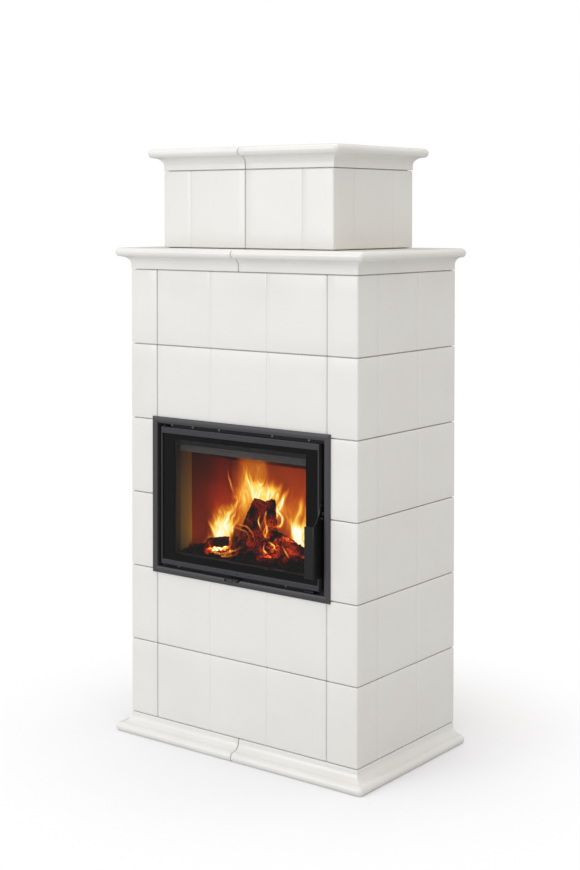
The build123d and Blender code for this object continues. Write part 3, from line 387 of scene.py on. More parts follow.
@dataclass(frozen=True)
class Board(Finish):
    """Pressed insulating board: dull and dry, with a fleck of fibres and chips."""

    fleck: str = "#8F7A58"
    chip: float = 0.006     # metres

    def look(self, add: Adder, place: Socket) -> dict:
        """Flecked tone with a rough press surface."""
        chips = add("TexVoronoi", {"Vector": place, "Scale": 1 / self.chip})
        tone = add("ValToRGB", {"Fac": chips}, ((0.1, self.fleck), (0.5, self.colour)))
        bump = add("Bump", {"Height": chips, "Strength": 0.4, "Distance": 0.0005})
        return {"Base Color": tone, "Normal": bump}


@dataclass(frozen=True)
class Pane(Finish):
    """Glass-ceramic pane with a black border fired on its edge: tinted in the middle, glossy all over."""

    tint: str = "#B4B4B4"
    ior: float = 1.45

    def surface(self, add: Adder, place: Socket) -> bpy.types.Node:
        """Clear glass inside the window's outline, opaque black outside it."""
        past = add_outside(add, add("SeparateXYZ", {0: place}), WINDOW_HALF, WINDOW_LOW, WINDOW_TOP)
        border = add("Math", {0: past, 1: 0.0}, operation="GREATER_THAN")
        tint = linear(self.tint)
        glass = {"Base Color": tint, "Roughness": 0.0, "IOR": self.ior, "Transmission Weight": 1.0}
        black = {"Base Color": linear(self.colour), "Roughness": self.roughness}
        return add("MixShader", {0: border, 1: add("BsdfPrincipled", glass), 2: add("BsdfPrincipled", black)})


@dataclass(frozen=True)
class HotSpot:
    """A place in the fire where charcoal glows, in millimetres, with how far and how strongly it glows."""

    place: tuple[float, float, float]
    reach: float
    heat: float


HOT_SPOTS = (
    HotSpot((-140.0, -172.0, 612.0), 70.0, 1.0),
    HotSpot((75.0, -130.0, 670.0), 70.0, 0.9),
    HotSpot((10.0, -120.0, 685.0), 45.0, 0.7),
    HotSpot((55.0, -180.0, 622.0), 55.0, 0.55),
    HotSpot((150.0, -150.0, 640.0), 45.0, 0.5),
)


@dataclass(frozen=True)
class Coal(Finish):
    """Wood that burns to charcoal; subclasses say where it glows."""

    sheen: float = 0.15     # dust and ash leave almost no shine

    def add_heat(self, add: Adder, place: Socket) -> bpy.types.Node:
        """Add the heat of all hot spots: the largest of their falls from the middle to the reach.

        Args:
            add: Adds a node to the material.
            place: Object coordinates, in metres.

        Returns:
            Node with 0 where cold and up to 1 where hottest.
        """
        heat: bpy.types.Node | float = 0.0
        for spot in HOT_SPOTS:
            gap = add("VectorMath", {0: place, 1: tuple(v * MM for v in spot.place)}, operation="DISTANCE")
            fall = {"From Min": spot.reach * MM, "From Max": 0.0, "To Max": spot.heat}
            near = add("MapRange", {"Value": gap.outputs["Value"]} | fall, interpolation_type="SMOOTHSTEP")
            heat = add("Math", {0: near, 1: heat}, operation="MAXIMUM")
        return heat


@dataclass(frozen=True)
class Char(Coal):
    """Charred wood: black scale cracked into small blocks, brown where grain still shows, glowing inside."""

    wood: str = "#220D07"
    glow_strength: float = 6.5
    least_heat: float = 0.22
    crack: float = 0.009            # metres from crack to crack
    wander: float = 0.008           # metres that cracks and fibres stray from straight ...
    bend: float = 0.03              # ... and metres from one such bend to the next
    patch: float = 0.05             # metres, patches of bare wood and of glow
    fibre_size: tuple[float, float, float] = (0.0045, 0.0045, 0.045)
    fibre_slope: float = 122.0      # degrees from upright in which the fibres run

    def look(self, add: Adder, place: Socket) -> dict:
        """Blocks from cell edges, grain from drawn-out noise, glow in the cracks near the hot spots."""
        bent = add("TexNoise", {"Vector": place, "Scale": 1 / self.bend, "Detail": 3.0}).outputs["Color"]
        shift = add("VectorMath", {0: bent, 1: (self.wander,) * 3, 2: place}, operation="MULTIPLY_ADD")
        edge = add("TexVoronoi", {"Vector": shift, "Scale": 1 / self.crack}, feature="DISTANCE_TO_EDGE")
        along = {"Rotation": (0.0, radians(self.fibre_slope), 0.0), "Scale": self.fibre_size}
        drawn = add("Mapping", {"Vector": shift} | along, vector_type="TEXTURE")
        fibre = add("TexNoise", {"Vector": drawn, "Scale": 1.0, "Detail": 1.5})
        patch = add("TexNoise", {"Vector": place, "Scale": 1 / self.patch, "Detail": 4.0})
        tone = add("ValToRGB", {"Fac": patch}, ((0.45, self.colour), (0.65, self.wood)))
        rough = add("Bump", {"Height": edge, "Strength": 0.9, "Distance": 0.004})
        lined = add("Bump", {"Height": fibre, "Strength": 0.7, "Distance": 0.003, "Normal": rough})
        open_crack = add("MapRange", {"Value": edge, "From Min": 0.07, "From Max": 0.0})
        faint = add("Math", {0: open_crack, 1: 0.5}, operation="MULTIPLY")
        from_middle = add("Math", {0: fibre, 1: 0.5}, operation="SUBTRACT")
        off_middle = add("Math", {0: from_middle}, operation="ABSOLUTE")
        threads = add("MapRange", {"Value": off_middle, "From Min": 0.03, "From Max": 0.0})
        lines = add("Math", {0: faint, 1: threads}, operation="MAXIMUM")
        islands = add("MapRange", {"Value": patch, "From Min": 0.42, "From Max": 0.58})
        shown = add("Math", {0: lines, 1: islands}, operation="MULTIPLY")
        heat = add("Math", {0: self.add_heat(add, place), 1: self.least_heat}, operation="ADD")
        light = add("Math", {0: shown, 1: heat}, operation="MULTIPLY")
        stops = ((0.02, "#000000"), (0.16, "#6A1004"), (0.42, "#F0480A"), (0.75, "#FF9A30"), (1.0, "#FFE0A0"))
        return {
            "Base Color": tone,
            "Specular IOR Level": self.sheen,
            "Normal": lined,
            "Emission Color": add("ValToRGB", {"Fac": light}, stops),
            "Emission Strength": self.glow_strength,
        }


@dataclass(frozen=True)
class Embers(Coal):
    """Burnt-down charcoal: black lumps with a skin of ash, glowing in the gaps where it is hot."""

    ash: str = "#1E1613"
    lump: float = 0.016     # metres
    patch: float = 0.03     # metres, patches of more and less ash
    spread: float = 3.2     # how far the glow spreads from the gaps
    glow_strength: float = 6.0

    def look(self, add: Adder, place: Socket) -> dict:
        """Lumps from cell distance; with heat the gaps go from dark through red and orange to white."""
        cells = add("TexVoronoi", {"Vector": place, "Scale": 1 / self.lump})
        patch = add("TexNoise", {"Vector": place, "Scale": 1 / self.patch, "Detail": 5.0})
        gap = add("Math", {0: cells, 1: patch}, operation="MULTIPLY")
        wide_gap = add("Math", {0: gap, 1: self.spread}, operation="MULTIPLY")
        light = add("Math", {0: wide_gap, 1: self.add_heat(add, place)}, operation="MULTIPLY")
        stops = ((0.12, "#000000"), (0.35, "#7A1204"), (0.6, "#F0500E"), (0.85, "#FFB848"), (1.0, "#FFF0C0"))
        return {
            "Base Color": add("ValToRGB", {"Fac": patch}, ((0.45, self.colour), (0.7, self.ash))),
            "Specular IOR Level": self.sheen,
            "Normal": add("Bump", {"Height": cells, "Strength": 0.8, "Distance": 0.006}),
            "Emission Color": add("ValToRGB", {"Fac": light}, stops),
            "Emission Strength": self.glow_strength,
        }


@dataclass(frozen=True)
class Flame(Finish):
    """Burning gas: no surface of its own, only light, from deep orange at its edge to nearly white inside."""

    strength: float = 2.6

    def surface(self, add: Adder, place: Socket) -> bpy.types.Node:
        """Emission over clear air, by the heat stored at each point of the sheet."""
        heat = add("Attribute", attribute_name=HEAT_LAYER).outputs["Fac"]
        stops = ((0.0, "#8A2A0A"), (0.25, "#D2560E"), (0.5, "#F59A22"), (0.75, "#FFD860"), (1.0, "#FFFBE8"))
        colour = add("ValToRGB", {"Fac": heat}, stops)
        cover = add("MapRange", {"Value": heat, "From Min": 0.02, "From Max": 0.75})
        light = add("Emission", {"Color": colour, "Strength": self.strength})
        return add("MixShader", {0: cover, 1: add("BsdfTransparent"), 2: light})


FINISHES: dict[Slot, Finish] = {
    Slot.GLAZE: Glaze("glaze", "#E9E8E5", 0.25),
    Slot.SLAB: Board("slab_clay", "#D6D1C6", 0.8, fleck="#CBC5B8"),
    Slot.BOARD: Board("calcium_board", "#C9BFA8", 0.9, fleck="#B3A78C"),
    Slot.FIRECLAY: Fireclay("fireclay", "#A0663C", 0.9),
    Slot.VERMICULITE: Board("vermiculite", "#6B5636", 0.9, fleck="#4A3A22"),
    Slot.GLASS: Pane("pane", "#060607", 0.06),
    Slot.ROPE_SEAL: Board("rope_seal", "#3C3B3A", 0.95, fleck="#242322"),
    Slot.DARK_STEEL: Paint("dark_paint", "#3B3A3F", 0.3),
    Slot.BARE_STEEL: Rolled("scaled_sheet", "#E4E1E0", 0.5, tint="#D2CFCE"),
    Slot.ZINC: Rolled("zinc_plate", "#6A6A68", 0.45, metallic=1.0, tint="#4E4E4C"),
    Slot.FLUE_STEEL: Paint("flue_paint", "#232325", 0.6),
    Slot.PRIMED_STEEL: Paint("primer", "#4C4E50", 0.7),
    Slot.BODY_STEEL: Paint("body_paint", "#19181A", 0.6),
}


NODE_FINISHES: dict[str, Finish] = {
    "handle": Paint("handle_enamel", "#1B1C1B", 0.34),
    # painted highlight: a lighter copy of the door's dark paint, for the sheen on the frame's crowned face
    "trim_frame": Paint("trim_paint", "#434246", 0.45),
    "plate_screws": Paint("bright_screws", "#8E8E8E", 0.4),
    "hearth_floor": Fireclay("burnt_hearth", "#3A241A", 0.95, soot_and_shade="#1A1210"),
    "handle_pin": Paint("black_pin", "#1C1C1D", 0.5),
    "latch_keeper": Paint("black_keeper", "#121213", 0.6),
    "door_rest": Paint("black_rest", "#151516", 0.5),
    # burnt grey round the opening, painted shade in the gap round the door leaf
    "front_plate": ScorchedPaint("plate_paint", "#1E1E1F", 0.55),
    # painted shadow at the front plate, painted fire light towards the chamber
    "air_channels": ShadedFireLitSheet("shadowed_fire_lit_channel", "#526A62", 0.5),
    "baffle": Board("sooted_board", "#1C1510", 0.95, fleck="#2A2018"),
    # painted shade and painted fire light: the side linings are a darker, redder copy of the fireclay, with
    # its soot as well
    "side_lining_left": Fireclay("shade_and_soot_clay_left", "#7C351A", 0.95, soot_and_shade="#30160D"),
    "side_lining_right": Fireclay("shade_and_soot_clay_right", "#7C351A", 0.95, soot_and_shade="#30160D"),
}


# ---- meshes ----


def grid_quads(rows: int, columns: int, wrap: bool) -> NDArray[np.int64]:
    """Quads of a grid of points numbered row by row.

    Args:
        rows: Number of rows.
        columns: Points in a row.
        wrap: Join the last column to the first.

    Returns:
        Four point numbers for each quad.
    """
    row = np.arange(rows - 1)[:, None] * columns
    column = np.arange(columns if wrap else columns - 1)[None, :]
    after = (column + 1) % columns
    corners = (row + column, row + after, row + columns + after, row + columns + column)
    return np.stack(np.broadcast_arrays(*corners), axis=-1).reshape(-1, 4)


def make_object(
    name: str,
    points: Array,
    faces: list,
    material: bpy.types.Material,
    sharp_angle: float = 35.0,
    solid: bool = True,
) -> bpy.types.Object:
    """Make a mesh object at the origin from points in millimetres.

    Args:
        name: Object and mesh name.
        points: One row of X, Y, Z for each vertex, in millimetres.
        faces: Vertex numbers of each face.
        material: Its only material.
        sharp_angle: Edges with a larger turn, in degrees, stay sharp.
        solid: Turn the faces outwards; an open sheet keeps them.

    Returns:
        The object, linked to the scene.
    """
    mesh = bpy.data.meshes.new(name)
    mesh.from_pydata((points * MM).tolist(), [], faces)
    if solid:
        work = bmesh.new()
        work.from_mesh(mesh)
        bmesh.ops.recalc_face_normals(work, faces=work.faces)
        work.to_mesh(mesh)
        work.free()
    mesh.shade_smooth()
    mesh.set_sharp_from_angle(angle=radians(sharp_angle))
    mesh.materials.append(material)
    made = bpy.data.objects.new(name, mesh)
    bpy.context.scene.collection.objects.link(made)
    return made


def ripple(points: Array, wavelength: float, seed: int, terms: int = 14) -> Array:
    """Smooth random field: a sum of sine waves of one length that run in random directions.

    Args:
        points: X, Y, Z rows, in millimetres.
        wavelength: Distance from crest to crest, in millimetres.
        seed: Chooses the directions and phases.
        terms: Number of waves.

    Returns:
        One value for each point, mostly between -1 and 1.
    """
    random = np.random.default_rng(seed)
    way = random.normal(size=(terms, 3))
    way /= np.linalg.norm(way, axis=1, keepdims=True)
    way *= 2 * pi / wavelength * random.uniform(0.6, 1.4, size=(terms, 1))
    phase = random.uniform(0, 2 * pi, size=terms)
    return np.sin(points @ way.T + phase).sum(axis=-1) / np.sqrt(terms)


@dataclass(frozen=True)
class Section:
    """Closed outline that is carried along a path, anticlockwise, as distance outwards and height."""

    out: Array
    height: Array
    relieved: NDArray[np.bool_]     # points that grooves and joint edges push inwards

    @staticmethod
    def of(stretches: list[tuple[list[tuple[float, float]], bool]]) -> "Section":
        """Join stretches of an outline.

        Args:
            stretches: Points of each stretch, with whether grooves act on it.

        Returns:
            The closed outline.
        """
        rows = [(out, height, shown) for points, shown in stretches for out, height in points]
        out, height, shown = (np.array(column) for column in zip(*rows))
        return Section(out.astype(float), height.astype(float), shown.astype(bool))

    def normals(self) -> tuple[Array, Array]:
        """Outward normal from a point's two neighbours.

        Returns:
            Its share outwards and its share upwards, zero where grooves don't act.
        """
        along_out = np.roll(self.out, -1) - np.roll(self.out, 1)
        along_height = np.roll(self.height, -1) - np.roll(self.height, 1)
        size = np.maximum(np.hypot(along_out, along_height), 1e-9)
        return along_height / size * self.relieved, -along_out / size * self.relieved


def arc(
    centre: tuple[float, float], radius: float, start: float, end: float, count: int
) -> list[tuple[float, float]]:
    """Points on a circle: centre plus radius times cosine and sine, from one angle to another in degrees."""
    angle = np.radians(np.linspace(start, end, count))
    return list(zip(centre[0] + radius * np.cos(angle), centre[1] + radius * np.sin(angle)))


@dataclass(frozen=True)
class PlanPath:
    """Path with right-angled turns to the left, whose outside is on its right."""

    corners: tuple[tuple[float, float], ...]
    turn_round: float           # radius of the turns ...
    round_reach: float = 0.0    # ... this far outside the path

    def leg_lengths(self) -> list[float]:
        """Length of each straight leg."""
        points = np.array(self.corners)
        return list(np.linalg.norm(np.diff(points, axis=0), axis=1))

    def sweep(self, rows: "Stations", out: Array) -> tuple[Array, Array]:
        """Plan positions of a grid of points.

        A point on a leg lies the given share of the way between the leg's two ends, both moved outwards. A
        point in a turn lies on a circle whose radius grows with the distance outwards from a least one.

        Args:
            rows: Where each grid row stands along the path.
            out: Distance outwards, a row for each station.

        Returns:
            X and Y, shaped as ``out``.
        """
        corners = np.array(self.corners)
        way = np.diff(corners, axis=0)
        way /= np.linalg.norm(way, axis=1, keepdims=True)
        side = np.stack([way[:, 1], -way[:, 0]], axis=1)
        radius = np.maximum(self.turn_round + out - self.round_reach, MIN_ROUND)[..., None]
        reach = out[..., None]

        def centre(corner: int) -> Array:
            """Middle of the circle of a turn, for every grid point."""
            return corners[corner] + (reach - radius) * (side[corner - 1] + side[corner])

        place = np.zeros((*out.shape, 2))
        last = len(way) - 1
        for leg in range(last + 1):
            start = corners[0] + side[0] * reach if leg == 0 else centre(leg) + radius * side[leg]
            end = corners[-1] + side[leg] * reach if leg == last else centre(leg + 1) + radius * side[leg]
            chosen = rows.leg == leg
            share = rows.share[:, None, None]
            place[chosen] = (start + (end - start) * share)[chosen]
        for corner in range(1, last + 1):
            angle = rows.share[:, None, None] * pi / 2
            bend = centre(corner) + radius * (np.cos(angle) * side[corner - 1] + np.sin(angle) * side[corner])
            chosen = rows.leg == -corner
            place[chosen] = bend[chosen]
        return place[..., 0], place[..., 1]


@dataclass
class Stations:
    """Grid rows along a path: leg number, or minus the corner number, share along it, and depth of relief."""

    leg: Array
    share: Array
    relief: Array

    @staticmethod
    def along(
        path: PlanPath,
        grooves: dict[int, list[float]],
        groove: "Groove",
        joint: "Groove",
        ends: tuple[bool, bool],
    ) -> "Stations":
        """Rows for a path, close together where a groove or a joint shapes the face.

        Args:
            path: Path to divide.
            grooves: Leg number to distances of its grooves from the leg's start.
            groove: Shape of a groove.
            joint: Shape of half a joint, at an end of the path.
            ends: Whether the first and last end are joints.

        Returns:
            The stations in order.
        """
        step, bend_rows = 28.0, 7
        lengths = path.leg_lengths()
        legs, shares, reliefs = [], [], []
        for leg, length in enumerate(lengths):
            places = np.linspace(0, length, max(int(length / step), 2) + 1)
            depth = np.zeros_like(places)
            shapes = [(centre, groove) for centre in grooves.get(leg, [])]
            shapes += [(0.0, joint)] if ends[0] and leg == 0 else []
            shapes += [(length, joint)] if ends[1] and leg == len(lengths) - 1 else []
            for centre, shape in shapes:
                keep = np.abs(places - centre) > shape.half_width
                near = centre + shape.offsets()
                near = near[(near >= 0) & (near <= length)]
                places = np.concatenate([places[keep], near])
                depth = np.concatenate([depth[keep], shape.depths(near - centre)])
            order = np.argsort(places, kind="stable")
            legs.append(np.full(order.size, leg))
            shares.append(places[order] / length)
            reliefs.append(depth[order])
            if leg < len(lengths) - 1:
                bend = np.linspace(0, 1, bend_rows + 2)[1:-1]
                legs.append(np.full(bend.size, -(leg + 1)))
                shares.append(bend)
                reliefs.append(np.zeros(bend.size))
        return Stations(np.concatenate(legs), np.concatenate(shares), np.concatenate(reliefs))


@dataclass(frozen=True)
class Groove:
    """A rounded groove across a face: depth times half of one plus the cosine of the offset."""

    depth: float
    half_width: float
    steps: int = 9

    def offsets(self) -> Array:
        """Row offsets on both sides of the middle."""
        return np.linspace(-self.half_width, self.half_width, self.steps)

    def depths(self, offset: Array) -> Array:
        """Depth at these offsets."""
        return self.depth * (1 + np.cos(pi * np.clip(offset / self.half_width, -1, 1))) / 2


FALSE_JOINT = Groove(depth=1.3, half_width=3.2)
REAL_JOINT = Groove(depth=2.4, half_width=3.4, steps=11)
MOULDING_JOINT = Groove(depth=2.0, half_width=3.6, steps=11)


@dataclass
class CeramicPiece:
    """One glazed piece: a section carried along a plan path, closed at both ends."""

    name: str
    section: Section
    path: PlanPath
    low: float
    node: str
    grooves: dict[int, list[float]] = field(default_factory=dict)
    turn: Turn = Turn.RIGHT
    ends: tuple[bool, bool] = (True, False)
    joint: Groove = REAL_JOINT

    def build(self, material: bpy.types.Material) -> bpy.types.Object:
        """Make the piece.

        The point at station s and section place t is the path at s, moved outwards by the section's distance
        less the relief times its normal, at the section's height less the relief times its normal's rise.

        Args:
            material: The glaze.

        Returns:
            The mesh object, standing for its CAD node.
        """
        rows = Stations.along(self.path, self.grooves, FALSE_JOINT, self.joint, self.ends)
        normal_out, normal_up = self.section.normals()
        relief = rows.relief[:, None]
        out = self.section.out[None, :] - normal_out[None, :] * relief
        height = self.section.height[None, :] - normal_up[None, :] * relief + self.low
        x, y = self.path.sweep(rows, out)
        points = np.stack([x * self.turn.value, y, height], axis=-1)
        count, around = out.shape
        faces = grid_quads(count, around, wrap=True).tolist()
        faces.append(list(range(around)))
        faces.append(list(range((count - 1) * around, count * around)))
        made = make_object(self.name, points.reshape(-1, 3), faces, material)
        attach(made, "stove")
        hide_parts(self.node)
        return made


def wall_section(height: float) -> Section:
    """Tile wall: rounded rims, a flat face, and behind the open joint a seat that carries the next piece.

    Args:
        height: Height of the tile face.

    Returns:
        The wall's outline.
    """
    r = RIM_ROUND
    shown = (
        arc((-r, r), r, -90, 0, 6)
        + [(0.0, z) for z in np.linspace(r, height - r, 6)[1:-1]]
        + arc((-r, height - r), r, 0, 90, 6)
    )
    hidden = [
        (-JOINT_DEPTH, height),
        (-JOINT_DEPTH, height + JOINT),
        (-WALL, height + JOINT),
        (-WALL, 0.0),
        (-JOINT_DEPTH, 0.0),
    ]
    return Section.of([(shown, True), (hidden, False)])


def cornice_section() -> Section:
    """Cornice from below: upright band, hollow cove and round nose, with a ledge for the slab behind.

    Returns:
        The moulding's outline.
    """
    nose, band, edge = 14.0, 14.0, 1.2
    cove = OVERHANG - nose
    crease = band + cove
    shown = (
        [(-edge, 0.0), (0.0, edge), (0.0, band)]
        + arc((cove, band), cove, 180, 90, 14)[1:]
        + arc((cove, crease + nose), nose, -90, 90, 18)[1:]
        + [(0.0, CORNICE_HEIGHT)]
    )
    hidden = [
        (-SLAB_LEDGE, CORNICE_HEIGHT),
        (-SLAB_LEDGE, CORNICE_HEIGHT - SLAB),
        (-WALL, CORNICE_HEIGHT - SLAB),
        (-WALL, 0.0),
    ]
    return Section.of([(shown, True), (hidden, False)])


def plinth_section() -> Section:
    """Plinth from below: round nose on the floor, hollow cove and upright band, with a raised seat behind.

    Returns:
        The moulding's outline.
    """
    nose, band, height, edge = 15.0, 8.0, 60.0, 2.0
    cove = OVERHANG - nose
    centre = height - band - cove - nose
    foot = -np.degrees(np.arcsin(centre / nose))
    shown = (
        arc((cove, centre), nose, foot, 90, 16)
        + arc((cove, height - band), cove, 270, 180, 14)[1:]
        + [(0.0, height - edge), (-edge * 0.3, height - edge * 0.3), (-edge, height)]
    )
    hidden = [
        (-JOINT_DEPTH, height),
        (-JOINT_DEPTH, height + JOINT),
        (-WALL, height + JOINT),
        (-WALL, 0.0),
    ]
    return Section.of([(shown, True), (hidden, False)])


def body_path(turn_round: float, round_reach: float, start: float) -> PlanPath:
    """From the front, round the right-hand corner, to the back end of the side."""
    return PlanPath(((start, FRONT), (SIDE, FRONT), (SIDE, BACK)), turn_round, round_reach)


def crown_path(turn_round: float, round_reach: float) -> PlanPath:
    """Half of the crown: front, side and back."""
    x, y = CROWN_HALF, CROWN_DEEP
    return PlanPath(((UPRIGHT_GAP, -y), (x, -y), (x, y), (UPRIGHT_GAP, y)), turn_round, round_reach)


def ceramic_pieces() -> list[CeramicPiece]:
    """Lay out every glazed piece of the stove.

    Returns:
        Both halves of the courses, mouldings and crown, then the front panels.
    """
    pieces = []
    wall = wall_section(TILE_HEIGHT)
    crown_wall = wall_section(CROWN_HEIGHT)
    half_front = SIDE - FIELD / 2
    corner_path = body_path(CORNER_ROUND, 0.0, half_front + UPRIGHT_GAP)
    half_panel = half_front - UPRIGHT_GAP
    panel_path = PlanPath(((-half_panel, FRONT), (half_panel, FRONT)), CORNER_ROUND)
    panel_grooves = {0: [half_panel - FIELD / 2, half_panel + FIELD / 2]}
    side_grooves = [FIELD / 2, FIELD * 3 / 2]
    crown_grooves = {0: [FIELD - UPRIGHT_GAP], 1: side_grooves, 2: [FIELD / 2]}
    body_ring = body_path(NOSE_PLAN_ROUND, OVERHANG, UPRIGHT_GAP)
    crown_ring = crown_path(NOSE_PLAN_ROUND, OVERHANG)
    cornice, front, both = cornice_section(), (True, False), (True, True)
    crown_wall_path = crown_path(CORNER_ROUND, 0.0)
    rows = (
        ("moulding_plinth", plinth_section(), body_ring, 0.0, "plinth", {}, front, MOULDING_JOINT),
        ("moulding_cornice", cornice, body_ring, CORNICE_LOW, "cornice", {}, front, MOULDING_JOINT),
        ("tile_crown", crown_wall, crown_wall_path, CROWN_LOW, "crown", crown_grooves, both, REAL_JOINT),
        ("moulding_crown", cornice, crown_ring, CROWN_CORNICE_LOW, "crown_cornice", {}, both, MOULDING_JOINT),
    )
    for turn in Turn:
        hand = turn.name.lower()
        for course in range(COURSE_COUNT):
            low = COURSE_LOW + course * COURSE_PITCH
            node = f"course_{course + 1}_{hand}"
            pieces.append(CeramicPiece(f"tile_{node}", wall, corner_path, low, node, {1: side_grooves}, turn))
        for name, section, path, low, node, grooves, ends, joint in rows:
            name, node = f"{name}_{hand}", f"{node}_{hand}"
            pieces.append(CeramicPiece(name, section, path, low, node, grooves, turn, ends, joint))
    for course in (1, 2, 5, 6):
        low = COURSE_LOW + (course - 1) * COURSE_PITCH
        node = f"course_{course}_panel"
        pieces.append(CeramicPiece(f"tile_{node}", wall, panel_path, low, node, panel_grooves, ends=both))
    return pieces


# ---- what burns ----


@dataclass
class SplitLog:
    """A split piece of firewood from one end to the other, both in millimetres."""

    name: str
    start: tuple[float, float, float]
    end: tuple[float, float, float]
    radius: float
    seed: int
    roll: float = 0.0
    around: int = 72
    rings: int = 56
    lumps: float = 34.0     # length of its coarse ripples ...
    grain: float = 13.0     # ... of its fine ones ...
    broken: float = 18.0    # ... and of those on its ends
    lump_depth: float = 0.055       # depth of the coarse ripples, as a share of the radius ...
    grain_depth: float = 0.035      # ... and of the fine ones
    broken_depth: float = 3.0       # depth of those on the ends, in millimetres
    edge: float = 1.25              # how far its split edges stand out of the round
    thinner: float = 0.1            # share of the radius that it loses at its ends

    def build(self, material: bpy.types.Material) -> bpy.types.Object:
        """Make the log.

        The point at angle a and share v lies on the axis at v plus a radius that follows a rounded wedge, the
        root mean square of a circle and a triangle, roughened by ripples of two lengths. Both ends close
        over three shrinking rings.

        Args:
            material: Charred wood.

        Returns:
            The mesh object, at rest on the hearth with the stove's body.
        """
        start, end = np.array(self.start, float), np.array(self.end, float)
        length = float(np.linalg.norm(end - start))
        axis = (end - start) / length
        across = np.cross(axis, (0.0, 1.0, 0.2))
        across /= np.linalg.norm(across)
        up = np.cross(axis, across)
        shares = np.concatenate([np.zeros(3), np.linspace(0, 1, self.rings), np.ones(3)])
        shrink = np.concatenate([[0.0, 0.45, 0.82], np.ones(self.rings), [0.82, 0.45, 0.0]])[:, None]
        angle = np.linspace(0, 2 * pi, self.around, endpoint=False)
        wedge = np.cos(pi / 3) / np.cos((angle + self.roll) % (2 * pi / 3) - pi / 3)
        outline = (0.5 * (1 + (wedge * self.edge) ** 2)) ** 0.5
        middle = (shares[:, None] * length * axis + start)[:, None, :]
        ring = np.cos(angle)[None, :, None] * across + np.sin(angle)[None, :, None] * up
        size = self.radius * outline[None, :] * shrink
        base = middle + ring * size[..., None]
        rough = self.lump_depth * ripple(base, self.lumps, self.seed)
        rough = rough + self.grain_depth * ripple(base, self.grain, self.seed + 1)
        taper = 1 - self.thinner * np.abs(shares[:, None] * 2 - 1) ** 3
        size = size * (1 + rough) * taper
        end_bump = self.broken_depth * ripple(base, self.broken, self.seed + 2) * (shrink < 1)
        points = (middle + ring * size[..., None] + axis * end_bump[..., None]).reshape(-1, 3)
        faces = grid_quads(shares.size, self.around, wrap=True).tolist()
        made = make_object(self.name, points, faces, material, sharp_angle=60)
        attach(made, "stove")
        return made


@dataclass
class EmberBed:
    """Glowing charcoal over the hearth: a low mound of lumps."""

    name: str = "ember_bed"
    columns: int = 200
    rows: int = 120
    gap: float = 4.0            # to the linings
    front_gap: float = 3.0      # to the front plate
    side_slope: float = 40.0    # width over which it falls at the sides, ...
    front_slope: float = 26.0   # ... at the front ...
    back_slope: float = 60.0    # ... and at the back
    least: float = 7.0          # height of the mound without its lumps
    coarse: tuple[float, float] = (38.0, 9.0)   # length and height of its large lumps ...
    fine: tuple[float, float] = (17.0, 5.0)     # ... and of its small ones
    rim_lift: float = 0.3       # its rim over the hearth ...
    lift: float = 0.1           # ... and its underside

    def build(self, material: bpy.types.Material) -> bpy.types.Object:
        """Make the bed.

        The height at x, y is a low mound that falls to nothing at the hearth's rim, plus ripples of two
        lengths that stand for the lumps. The underside is flat on the hearth.

        Args:
            material: Glowing charcoal.

        Returns:
            The mesh object.
        """
        columns, rows = self.columns, self.rows
        half, front, back = CHAMBER_HALF - self.gap, CHAMBER_FRONT + self.front_gap, CHAMBER_BACK - self.gap
        x, y = np.meshgrid(np.linspace(-half, half, columns), np.linspace(front, back, rows))
        flat = np.stack([x, y, np.zeros_like(x)], axis=-1)
        fall_side = np.clip((half - np.abs(x)) / self.side_slope, 0, 1)
        fall_front = np.clip((y - front) / self.front_slope, 0, 1)
        rim = np.sqrt(fall_side * fall_front * np.clip((back - y) / self.back_slope, 0, 1))
        heap = [np.abs(ripple(flat, self.coarse[0], 5)) * self.coarse[1]]
        heap.append(np.abs(ripple(flat, self.fine[0], 6)) * self.fine[1])
        upper = np.stack([x, y, HEARTH_TOP + self.rim_lift + rim * (self.least + sum(heap))], axis=-1)
        lower = np.stack([x, y, np.full_like(x, HEARTH_TOP + self.lift)], axis=-1)
        quads = grid_quads(rows, columns, wrap=False)
        under = quads[:, ::-1] + rows * columns
        number = np.arange(rows * columns).reshape(rows, columns)
        ring = np.concatenate([number[0], number[1:, -1], number[-1, -2::-1], number[-2:0:-1, 0]])
        after = np.roll(ring, -1)
        skirt = np.stack([ring, ring + rows * columns, after + rows * columns, after], axis=-1)
        faces = np.concatenate([quads, under, skirt]).tolist()
        points = np.concatenate([upper, lower]).reshape(-1, 3)
        made = make_object(self.name, points, faces, material, sharp_angle=70)
        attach(made, "stove")
        return made


